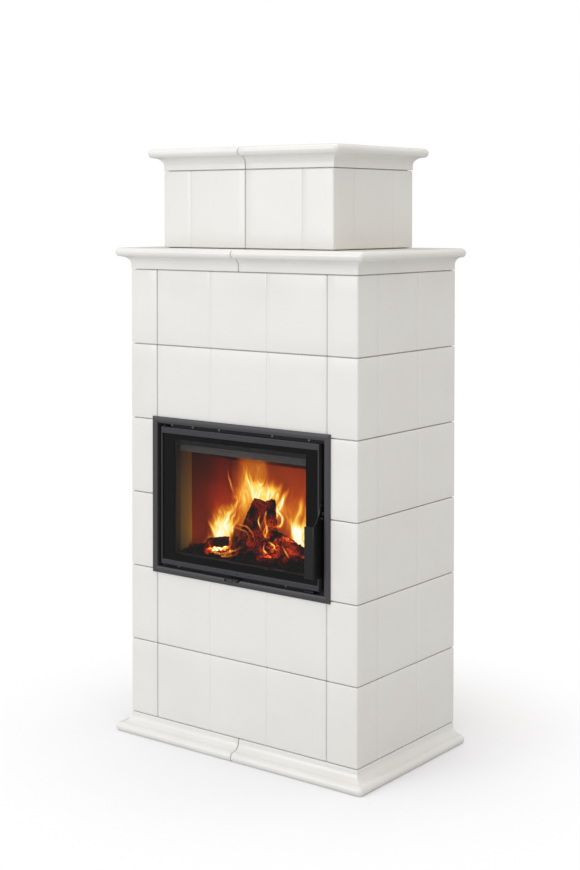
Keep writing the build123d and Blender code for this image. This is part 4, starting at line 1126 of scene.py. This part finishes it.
@dataclass(frozen=True)
class Lick:
    """One tongue of flame along a bent line of X and Z, with its width at the foot and at the tip."""

    line: tuple[tuple[float, float], ...]
    foot: float
    tip: float
    heat: float
    taper: float = 2.2          # the larger, the later the tip fades
    foot_heat: float = 0.45     # share of its heat at the very foot ...
    kindling: float = 3.0       # ... and how fast that rises along it
    squeeze: float = 0.6        # distances upwards count this much of those across

    def bend(self, count: int = 30) -> Array:
        """Points along a smooth curve: the polynomial that passes all points of the line at even shares.

        Args:
            count: Number of points.

        Returns:
            Rows of X and Z.
        """
        points = np.array(self.line, float)
        share = np.linspace(0, 1, len(points))
        fit = [np.polyfit(share, points[:, k], len(points) - 1) for k in (0, 1)]
        fine = np.linspace(0, 1, count)
        return np.stack([np.polyval(f, fine) for f in fit], axis=-1)

    def field(self, x: Array, z: Array) -> Array:
        """Heat at each place: highest on the line, falling off as a bell across it and fading at the tip.

        Args:
            x: Places across.
            z: Their heights.

        Returns:
            Heat, shaped as ``x``.
        """
        best = np.zeros_like(x)
        curve = self.bend()
        for share, (cx, cz) in zip(np.linspace(0, 1, len(curve)), curve):
            width = self.foot + (self.tip - self.foot) * share
            fade = (1 - share**self.taper) * min(1.0, self.foot_heat + share * self.kindling)
            near = fade * np.exp(-(((x - cx) ** 2 + ((z - cz) * self.squeeze) ** 2) / (width * width)))
            best = np.maximum(best, near)
        return best * self.heat


@dataclass
class FlameSheet:
    """A bent sheet that carries the heat of several tongues of flame."""

    name: str
    depth: float
    licks: tuple[Lick, ...]
    seed: int
    columns: int = 340
    rows: int = 250
    left: float = -258.0
    right: float = 258.0
    low: float = HEARTH_TOP + 4.0
    top: float = 905.0
    sway: float = 1.0           # how much the ripples move the tongues
    bends: float = 70.0         # length of the ripples that bend them, ...
    frays: float = 22.0         # ... that fray them ...
    lifts: float = 40.0         # ... and that lift and lower them
    bend_depth: float = 3.0     # how far they bend them at the foot ...
    bend_gain: float = 8.0      # ... and how much further at the top,
    fray_depth: float = 3.2     # how far they fray them ...
    lift_depth: float = 7.0     # ... and how far they lift them
    drawn_out: float = 0.45     # ripples count distances upwards this much
    wisp: float = 0.1           # share of the heat that comes and goes in wisps ...
    thread: float = 0.09        # ... and in their threads
    threads: float = 8.0        # length across the threads
    side_fade: float = 14.0     # width over which it goes out at its sides ...
    top_fade: float = 20.0      # ... and at the top
    folds: float = 150.0        # length of the sheet's own folds ...
    fold_depth: float = 9.0     # ... and their depth
    least_heat: float = 0.015   # faces colder than this are left out

    def build(self, material: bpy.types.Material) -> bpy.types.Object:
        """Make the sheet.

        The point at x, z stands at the sheet's depth plus a slow ripple. Its heat is one minus the product of
        what each tongue leaves, taken at a place that ripples have shifted more and more towards the top.

        Args:
            material: Burning gas.

        Returns:
            The mesh object.
        """
        across = np.linspace(self.left, self.right, self.columns)
        x, z = np.meshgrid(across, np.linspace(self.low, self.top, self.rows))
        flat = np.stack([x, z * self.drawn_out, np.full_like(x, self.seed * 50.0)], axis=-1)
        rise = np.clip((z - self.low) / (self.top - self.low), 0, 1)
        push = (self.bend_depth + self.bend_gain * rise) * ripple(flat, self.bends, self.seed)
        push += self.fray_depth * ripple(flat, self.frays, self.seed + 1)
        sway_x = x + self.sway * push
        sway_z = z + self.sway * self.lift_depth * ripple(flat, self.lifts, self.seed + 2)
        left_over = np.ones_like(x)
        for lick in self.licks:
            left_over *= 1 - np.clip(lick.field(sway_x, sway_z), 0, 0.995)
        thin = np.stack([x + 2.2 * (sway_x - x), z * 0.3, np.zeros_like(x)], axis=-1)
        drawn = thin * (1.0, 0.4, 1.0)
        wisps = 1 - self.wisp + self.wisp * ripple(thin, self.frays, self.seed + 3)
        wisps += self.thread * ripple(drawn, self.threads, self.seed + 5)
        rim = np.clip((self.right - np.abs(x)) / self.side_fade, 0, 1)
        rim = rim * np.clip((self.top - z) / self.top_fade, 0, 1)
        heat = (np.clip((1 - left_over) * wisps, 0, 1) * rim).reshape(-1)
        y = self.depth + self.fold_depth * ripple(flat, self.folds, self.seed + 4)
        points = np.stack([x, y, z], axis=-1).reshape(-1, 3)
        faces = grid_quads(self.rows, self.columns, wrap=False)
        warm = heat[faces].max(axis=1) > self.least_heat
        kept, renumbered = np.unique(faces[warm], return_inverse=True)
        made = make_object(self.name, points[kept], renumbered.reshape(-1, 4).tolist(), material, solid=False)
        store = made.data.attributes.new(HEAT_LAYER, "FLOAT", "POINT")
        store.data.foreach_set("value", heat[kept].astype(np.float32))
        made.visible_shadow = False     # the lamps behind it light the chamber through it
        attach(made, "stove")
        return made


BACK_LICKS = (
    # orange haze up the left half of the back wall
    Lick(((-186, 711), (-182, 761), (-178, 828), (-176, 915)), 23, 25, 0.50),
    Lick(((-160, 731), (-152, 782), (-150, 847), (-146, 925)), 27, 32, 0.62),
    Lick(((-125, 720), (-120, 770), (-118, 830), (-114, 925)), 29, 32, 0.50),
    Lick(((-105, 790), (-95, 835), (-86, 875), (-78, 925)), 24, 32, 0.30),
    Lick(((-120, 690), (-95, 740), (-75, 790), (-60, 870)), 62, 55, 0.14),
    Lick(((-185, 650), (-180, 700), (-172, 750), (-168, 800)), 28, 20, 0.34),
    Lick(((-208, 775), (-214, 800), (-221, 829), (-230, 858)), 6, 3, 0.60),
    # yellow flames over the log tops
    Lick(((-87, 735), (-107, 773), (-132, 803), (-156, 848)), 20, 6, 1.00),
    Lick(((-75, 745), (-92, 780), (-110, 812), (-128, 850)), 13, 5, 0.70),
    Lick(((-83, 746), (-91, 778), (-95, 800), (-91, 828)), 17, 6, 0.90),
    Lick(((-66, 746), (-58, 775), (-42, 796), (-20, 808)), 19, 7, 0.90),
    Lick(((-70, 745), (-66, 780), (-72, 805), (-60, 836)), 14, 6, 0.72),
    Lick(((-99, 742), (-75, 756), (-50, 773), (-30, 787)), 20, 13, 1.10),
    Lick(((-40, 720), (-22, 752), (-2, 776), (24, 808)), 15, 5, 1.35),
    Lick(((-30, 715), (-5, 740), (15, 755), (40, 765)), 22, 16, 0.50),
    # orange body and white core at the right
    Lick(((15, 670), (25, 715), (35, 745), (48, 775)), 36, 18, 0.42),
    Lick(((49, 655), (53, 708), (63, 748), (72, 790)), 16, 5, 1.00),
    Lick(((50, 625), (56, 652), (58, 672), (57, 692)), 24, 10, 1.25),
    Lick(((48, 650), (38, 680), (28, 697), (15, 708)), 12, 5, 0.80),
    Lick(((74, 628), (78, 679), (82, 727), (84, 768)), 16, 6, 0.95),
    Lick(((60, 735), (70, 780), (76, 810), (80, 845)), 24, 16, 0.25),
)
LEFT_LICKS = (
    Lick(((-150, 620), (-148, 680), (-145, 735), (-140, 810)), 58, 40, 0.16),
    Lick(((-145, 625), (-140, 690), (-130, 740), (-118, 795)), 36, 20, 0.42),
    Lick(((-180, 622), (-180, 665), (-172, 700), (-165, 735)), 22, 14, 0.34),
    Lick(((-142, 628), (-134, 685), (-122, 728), (-107, 774)), 18, 6, 1.05),
    Lick(((-150, 636), (-148, 680), (-140, 715), (-130, 750)), 12, 4, 0.95),
    Lick(((-161, 634), (-176, 658), (-189, 680), (-200, 706)), 9, 3, 0.90),
    Lick(((-156, 640), (-167, 672), (-172, 698), (-184, 725)), 7, 3, 0.75),
    Lick(((-150, 645), (-160, 688), (-153, 722), (-140, 755)), 9, 3.5, 0.85),
    Lick(((-128, 645), (-100, 692), (-79, 726), (-60, 754)), 9, 3, 0.75),
    Lick(((-132, 645), (-113, 698), (-96, 735), (-82, 776)), 10, 4, 0.75),
    Lick(((-112, 736), (-92, 762), (-98, 777), (-126, 782)), 7, 3, 0.75),
    Lick(((-183, 645), (-200, 635), (-215, 624), (-230, 611)), 9, 4, 0.50),
    # thin flames that curl round the logs
    Lick(((-112, 620), (-86, 626), (-62, 628), (-42, 634)), 6, 4, 0.60),
    Lick(((66, 776), (75, 757), (87, 744), (84, 728)), 5, 4, 1.20),
    Lick(((88, 742), (80, 721), (66, 711), (46, 703)), 6, 3.5, 1.10),
)
FRONT_LICKS = (
    # streaks over the embers
    Lick(((-147, 608), (-90, 620), (-34, 637), (26, 667)), 2.6, 1.6, 0.90),
    Lick(((-120, 608), (-80, 611), (-44, 619), (-10, 634)), 2, 1.4, 0.75),
    Lick(((-96, 610), (-62, 622), (-30, 640), (0, 662)), 2, 1.4, 0.65),
    Lick(((-50, 616), (-52, 640), (-54, 660), (-56, 690)), 4, 2.5, 0.40),
    # thin flames that curl round the logs
    Lick(((-30, 716), (4, 714), (34, 690), (18, 650)), 2.2, 1.8, 0.80),
    Lick(((-38, 705), (-6, 701), (16, 682), (4, 655)), 2, 1.6, 0.65),
    Lick(((82, 694), (91, 726), (82, 750), (92, 782)), 4, 2, 0.90),
    Lick(((90, 690), (78, 712), (94, 735), (90, 760)), 4, 2, 0.70),
    Lick(((64, 712), (60, 735), (66, 750), (74, 768)), 3, 2, 0.85),
    Lick(((94, 640), (75, 649), (76, 662), (84, 673)), 2.4, 1.8, 0.95),
    Lick(((106, 658), (113, 671), (102, 676), (92, 670)), 2.4, 1.8, 0.90),
    Lick(((160, 640), (150, 652), (142, 664), (134, 680)), 2, 1.5, 0.75),
)


@dataclass(frozen=True)
class Glow:
    """A small soft lamp inside the fire that looks at a point; the flames hide it."""

    name: str
    place: tuple[float, float, float]
    target: tuple[float, float, float]
    size: float
    watts: float
    colour: str = "#FF8026"

    def build(self) -> None:
        """Make the lamp, unseen by the camera and by reflections."""
        place, target = (tuple(v * MM for v in point) for point in (self.place, self.target))
        size = self.size * MM
        lamp = Softbox(self.name, place, target, size, size, self.watts, self.colour).build()
        lamp.visible_camera = lamp.visible_glossy = lamp.visible_transmission = False


GLOWS = (
    Glow("glow_back", (-60.0, -50.0, 780.0), (-50.0, 60.0, 820.0), 200.0, 1.3, "#FF7022"),
    Glow("glow_left", (-185.0, -10.0, 750.0), (-262.0, 10.0, 770.0), 90.0, 0.3, "#FF8030"),
    Glow("glow_logs_left", (-160.0, -205.0, 690.0), (-30.0, -110.0, 690.0), 60.0, 0.4, "#FF7030"),
    Glow("glow_logs_right", (170.0, -215.0, 720.0), (40.0, -120.0, 690.0), 60.0, 0.4, "#FF7030"),
    Glow("glow_logs_back", (0.0, -30.0, 800.0), (0.0, -120.0, 690.0), 80.0, 0.5, "#FFA050"),
    Glow("glow_reveal", (-172.0, -148.0, 650.0), (-262.0, -172.0, 650.0), 60.0, 0.17, "#FFB440"),
)


LOGS = (
    SplitLog("log_lean", (-92, -108, 618), (-31, -98, 768), 28, 11),
    SplitLog("log_upright", (20, -104, 622), (3, -94, 776), 17, 23, 0.7),
    SplitLog("log_diagonal", (-80, -198, 608), (30, -150, 684), 24, 37, 0.3),
    SplitLog("log_right", (2, -118, 676), (165, -150, 628), 30, 41, 1.2),
    SplitLog("log_core", (-25, -140, 632), (75, -152, 634), 26, 47, 0.9),
    SplitLog("log_left", (-192, -168, 626), (-114, -154, 640), 17, 53, 0.2),
    SplitLog("log_low_a", (45, -202, 606), (130, -196, 610), 15, 61),
    SplitLog("log_low_b", (135, -186, 622), (215, -198, 612), 22, 67, 0.9),
    SplitLog("log_low_c", (-242, -190, 612), (-176, -200, 609), 13, 71),
)


def build_fire() -> list[bpy.types.Object]:
    """Make all that burns, and its lamps.

    Returns:
        The mesh objects.
    """
    char = Char("charred_wood", "#0C0807", 0.9).build()
    embers = Embers("embers", "#0C0807", 0.95).build()
    gas = Flame("flame", "#FFB040").build()
    sheets = (
        FlameSheet("flame_back", -15.0, BACK_LICKS, 3, top=902.0),
        FlameSheet("flame_left", -150.0, LEFT_LICKS, 8, top=902.0),
        FlameSheet("flame_front", -222.0, FRONT_LICKS, 15, top=800.0, rows=180, sway=0.4),
    )
    made = [log.build(char) for log in LOGS]
    made.append(EmberBed().build(embers))
    made += [sheet.build(gas) for sheet in sheets]
    for glow in GLOWS:
        glow.build()
    return made


# ---- steel, glass and stone parts that keep their CAD shape ----


@dataclass(frozen=True)
class EdgeBreak:
    """A small rounding of the edges of a CAD part, as deburring and paint leave them."""

    width: float
    nodes: tuple[str, ...]

    def apply(self, nodes: dict[str, bpy.types.Object]) -> None:
        """Add the modifiers that join split corners and round the edges.

        Args:
            nodes: CAD nodes by name.
        """
        for name in self.nodes:
            weld = nodes[name].modifiers.new("weld", "WELD")
            weld.merge_threshold = 0.00002
            bevel = nodes[name].modifiers.new("edge", "BEVEL")
            bevel.width = self.width * MM
            bevel.segments = 2
            bevel.limit_method = "ANGLE"
            bevel.angle_limit = radians(40)
            bevel.harden_normals = True


SLABS = ("ceiling_slab", "crown_slab", "side_lining_left", "side_lining_right", "back_lining", "baffle")
EDGE_BREAKS = (
    EdgeBreak(0.6, ("air_lever", "handle")),
    EdgeBreak(0.5, ("hinge_brackets", "latch_keeper", "door_rest", "front_plate", "air_deflector")),
    EdgeBreak(1.5, SLABS),
)


@dataclass
class CadParts:
    """The CAD nodes that are shown as they are."""

    nodes: dict[str, bpy.types.Object]
    record: dict

    def dress(self) -> int:
        """Give every CAD node its own finish where it has one, else the finish of its material slot.

        Returns:
            Number of nodes dressed.
        """
        made = {slot: finish.build() for slot, finish in FINISHES.items()}
        own = {name: finish.build() for name, finish in NODE_FINISHES.items()}
        for row in self.record["subparts"]:
            node = self.nodes[row["node"]]
            node.data.materials.clear()
            node.data.materials.append(own.get(row["node"], made[Slot(row["material_slot"])]))
        for edges in EDGE_BREAKS:
            edges.apply(self.nodes)
        return len(self.record["subparts"])


# ---- studio ----


@dataclass(frozen=True)
class Softbox:
    """A large soft lamp that looks at a point."""

    name: str
    place: tuple[float, float, float]
    target: tuple[float, float, float]
    width: float
    height: float
    watts: float
    colour: str = "#FFFFFF"

    def build(self) -> bpy.types.Object:
        """Make the lamp, turned to its target.

        Returns:
            The lamp object.
        """
        data = bpy.data.lights.new(self.name, "AREA")
        data.shape = "RECTANGLE"
        data.size, data.size_y = self.width, self.height
        data.energy = self.watts
        data.color = linear(self.colour)[:3]
        lamp = bpy.data.objects.new(self.name, data)
        lamp.location = self.place
        way = Vector(self.target) - Vector(self.place)
        lamp.rotation_euler = way.to_track_quat("-Z", "Y").to_euler()
        bpy.context.scene.collection.objects.link(lamp)
        return lamp


@dataclass(frozen=True)
class Paper(Finish):
    """White studio floor: matt, and plain white to the camera away from the stove, where no shadow falls."""

    lightened: float = 0.05     # share of plain white next to the stove
    bounced: str = "#DADADA"    # tone that it throws back on the stove
    mirrored: float = 0.26      # light that glossy surfaces get from it
    near: float = 0.45          # metres from the stove's middle where the blend starts ...
    far: float = 1.25           # ... and ends

    def surface(self, add: Adder, place: Socket) -> bpy.types.Node:
        """Matt white near the stove, blending to the backdrop's white with distance."""
        flat = add("VectorMath", {0: place, 1: (1.0, 1.0, 0.0)}, operation="MULTIPLY")
        away = add("VectorMath", {0: flat}, operation="LENGTH").outputs["Value"]
        blend = {"Value": away, "From Min": self.near, "From Max": self.far, "To Min": self.lightened}
        plain = add("MapRange", blend, interpolation_type="SMOOTHSTEP")
        rays = add("LightPath").outputs
        tones = {"Factor": rays["Is Diffuse Ray"], 6: linear(self.colour), 7: linear(self.bounced)}
        matt = add("BsdfDiffuse", {"Color": add("Mix", tones, data_type="RGBA").outputs[2]})
        white = add("Emission", {"Color": linear("#FFFFFF"), "Strength": 1.0})
        grey = add("Emission", {"Color": linear("#FFFFFF"), "Strength": self.mirrored})
        factor = add("Math", {0: plain, 1: rays["Is Camera Ray"]}, operation="MULTIPLY")
        seen = add("MixShader", {0: factor, 1: matt, 2: white})
        return add("MixShader", {0: rays["Is Glossy Ray"], 1: seen, 2: grey})


@dataclass(frozen=True)
class Studio:
    """Floor, backdrop, soft light and camera."""

    ambient: float = 0.87
    gloss_ambient: float = 0.4
    floor_half: float = 30000.0     # millimetres
    floor_drop: float = 0.2         # millimetres under the plinth
    lens: float = 64.077
    shift: tuple[float, float] = (0.0619, -0.21)      # the photo was cropped off its middle
    eye: tuple[float, float, float] = (2.9264, -3.9811, 1.6782)
    look_down: float = 1.408        # degrees
    turn: float = 38.222            # degrees

    def floor(self) -> bpy.types.Object:
        """Make the floor: a square sheet just under the plinth.

        Returns:
            The sheet, which isn't part of the stove.
        """
        corners = ((-1, -1), (1, -1), (1, 1), (-1, 1))
        points = np.array([(x * self.floor_half, y * self.floor_half, -self.floor_drop) for x, y in corners])
        paper = Paper("floor_paper", "#F4F4F7").build()
        made = make_object("studio_floor", points, [[0, 1, 2, 3]], paper, solid=False)
        return made

    def world(self) -> None:
        """Plain white to the camera, soft grey light from all round for everything else."""
        world = bpy.data.worlds.new("studio")
        world.use_nodes = True
        world.node_tree.nodes.clear()
        add = partial(add_node, world.node_tree)
        rays = add("LightPath").outputs
        seen = add("Background", {"Color": linear("#FFFFFF"), "Strength": 1.0})
        soft = add("Background", {"Color": linear("#FFFDFA"), "Strength": self.ambient})
        gloss = add("Background", {"Color": linear("#FDFEFF"), "Strength": self.gloss_ambient})
        rest = add("MixShader", {0: rays["Is Glossy Ray"], 1: soft, 2: gloss})
        add("OutputWorld", {"Surface": add("MixShader", {0: rays["Is Camera Ray"], 1: rest, 2: seen})})
        bpy.context.scene.world = world

    def lamps(self) -> None:
        """A large key from the front left, a weaker lamp above, two cards that only glossy surfaces show."""
        Softbox("key", (-3.4, -8.0, 3.4), (0.0, 0.0, 0.9), 4.0, 4.0, 195.0, "#F2F7FF").build()
        Softbox("top", (0.4, -0.6, 6.0), (0.0, 0.0, 1.0), 4.0, 4.0, 75.0).build()
        for name, place, size, watts in (
            ("card_left", (-5.2, -7.0, 2.8), (4.6, 3.6), 30.0),
            ("card_right", (6.5, -3.6, 2.2), (2.4, 3.6), 120.0),
        ):
            card = Softbox(name, place, (0.0, 0.0, 0.9), *size, watts).build()
            card.visible_diffuse = False

    def camera(self) -> bpy.types.Object:
        """Make the camera at the photo's place, with its image shifted as the photo was cropped.

        Returns:
            The camera object.
        """
        data = bpy.data.cameras.new("camera")
        data.lens = self.lens
        data.sensor_width = 36.0
        data.shift_x, data.shift_y = self.shift
        data.clip_end = 60.0
        made = bpy.data.objects.new("camera", data)
        made.location = self.eye
        made.rotation_euler = (radians(90 - self.look_down), 0.0, radians(self.turn))
        bpy.context.scene.collection.objects.link(made)
        bpy.context.scene.camera = made
        return made

    def build(self) -> None:
        """Set up the whole studio."""
        self.floor()
        self.world()
        self.lamps()
        self.camera()
        bpy.context.scene.view_settings.view_transform = "Standard"


def main() -> None:
    """Build the stove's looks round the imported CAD, then the studio."""
    logging.basicConfig(level=logging.INFO, format="%(name)s: %(message)s")
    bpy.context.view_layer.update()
    LOG.info("dressed %d CAD nodes", CadParts(frame["nodes"], frame["record"]).dress())
    glaze = frame["nodes"]["plinth_left"].data.materials[0]
    ceramics = [piece.build(glaze) for piece in ceramic_pieces()]
    LOG.info("built %d ceramic pieces", len(ceramics))
    fire = build_fire()
    LOG.info("built %d pieces of the fire", len(fire))
    Studio().build()


if __name__ == "__main__":
    main()
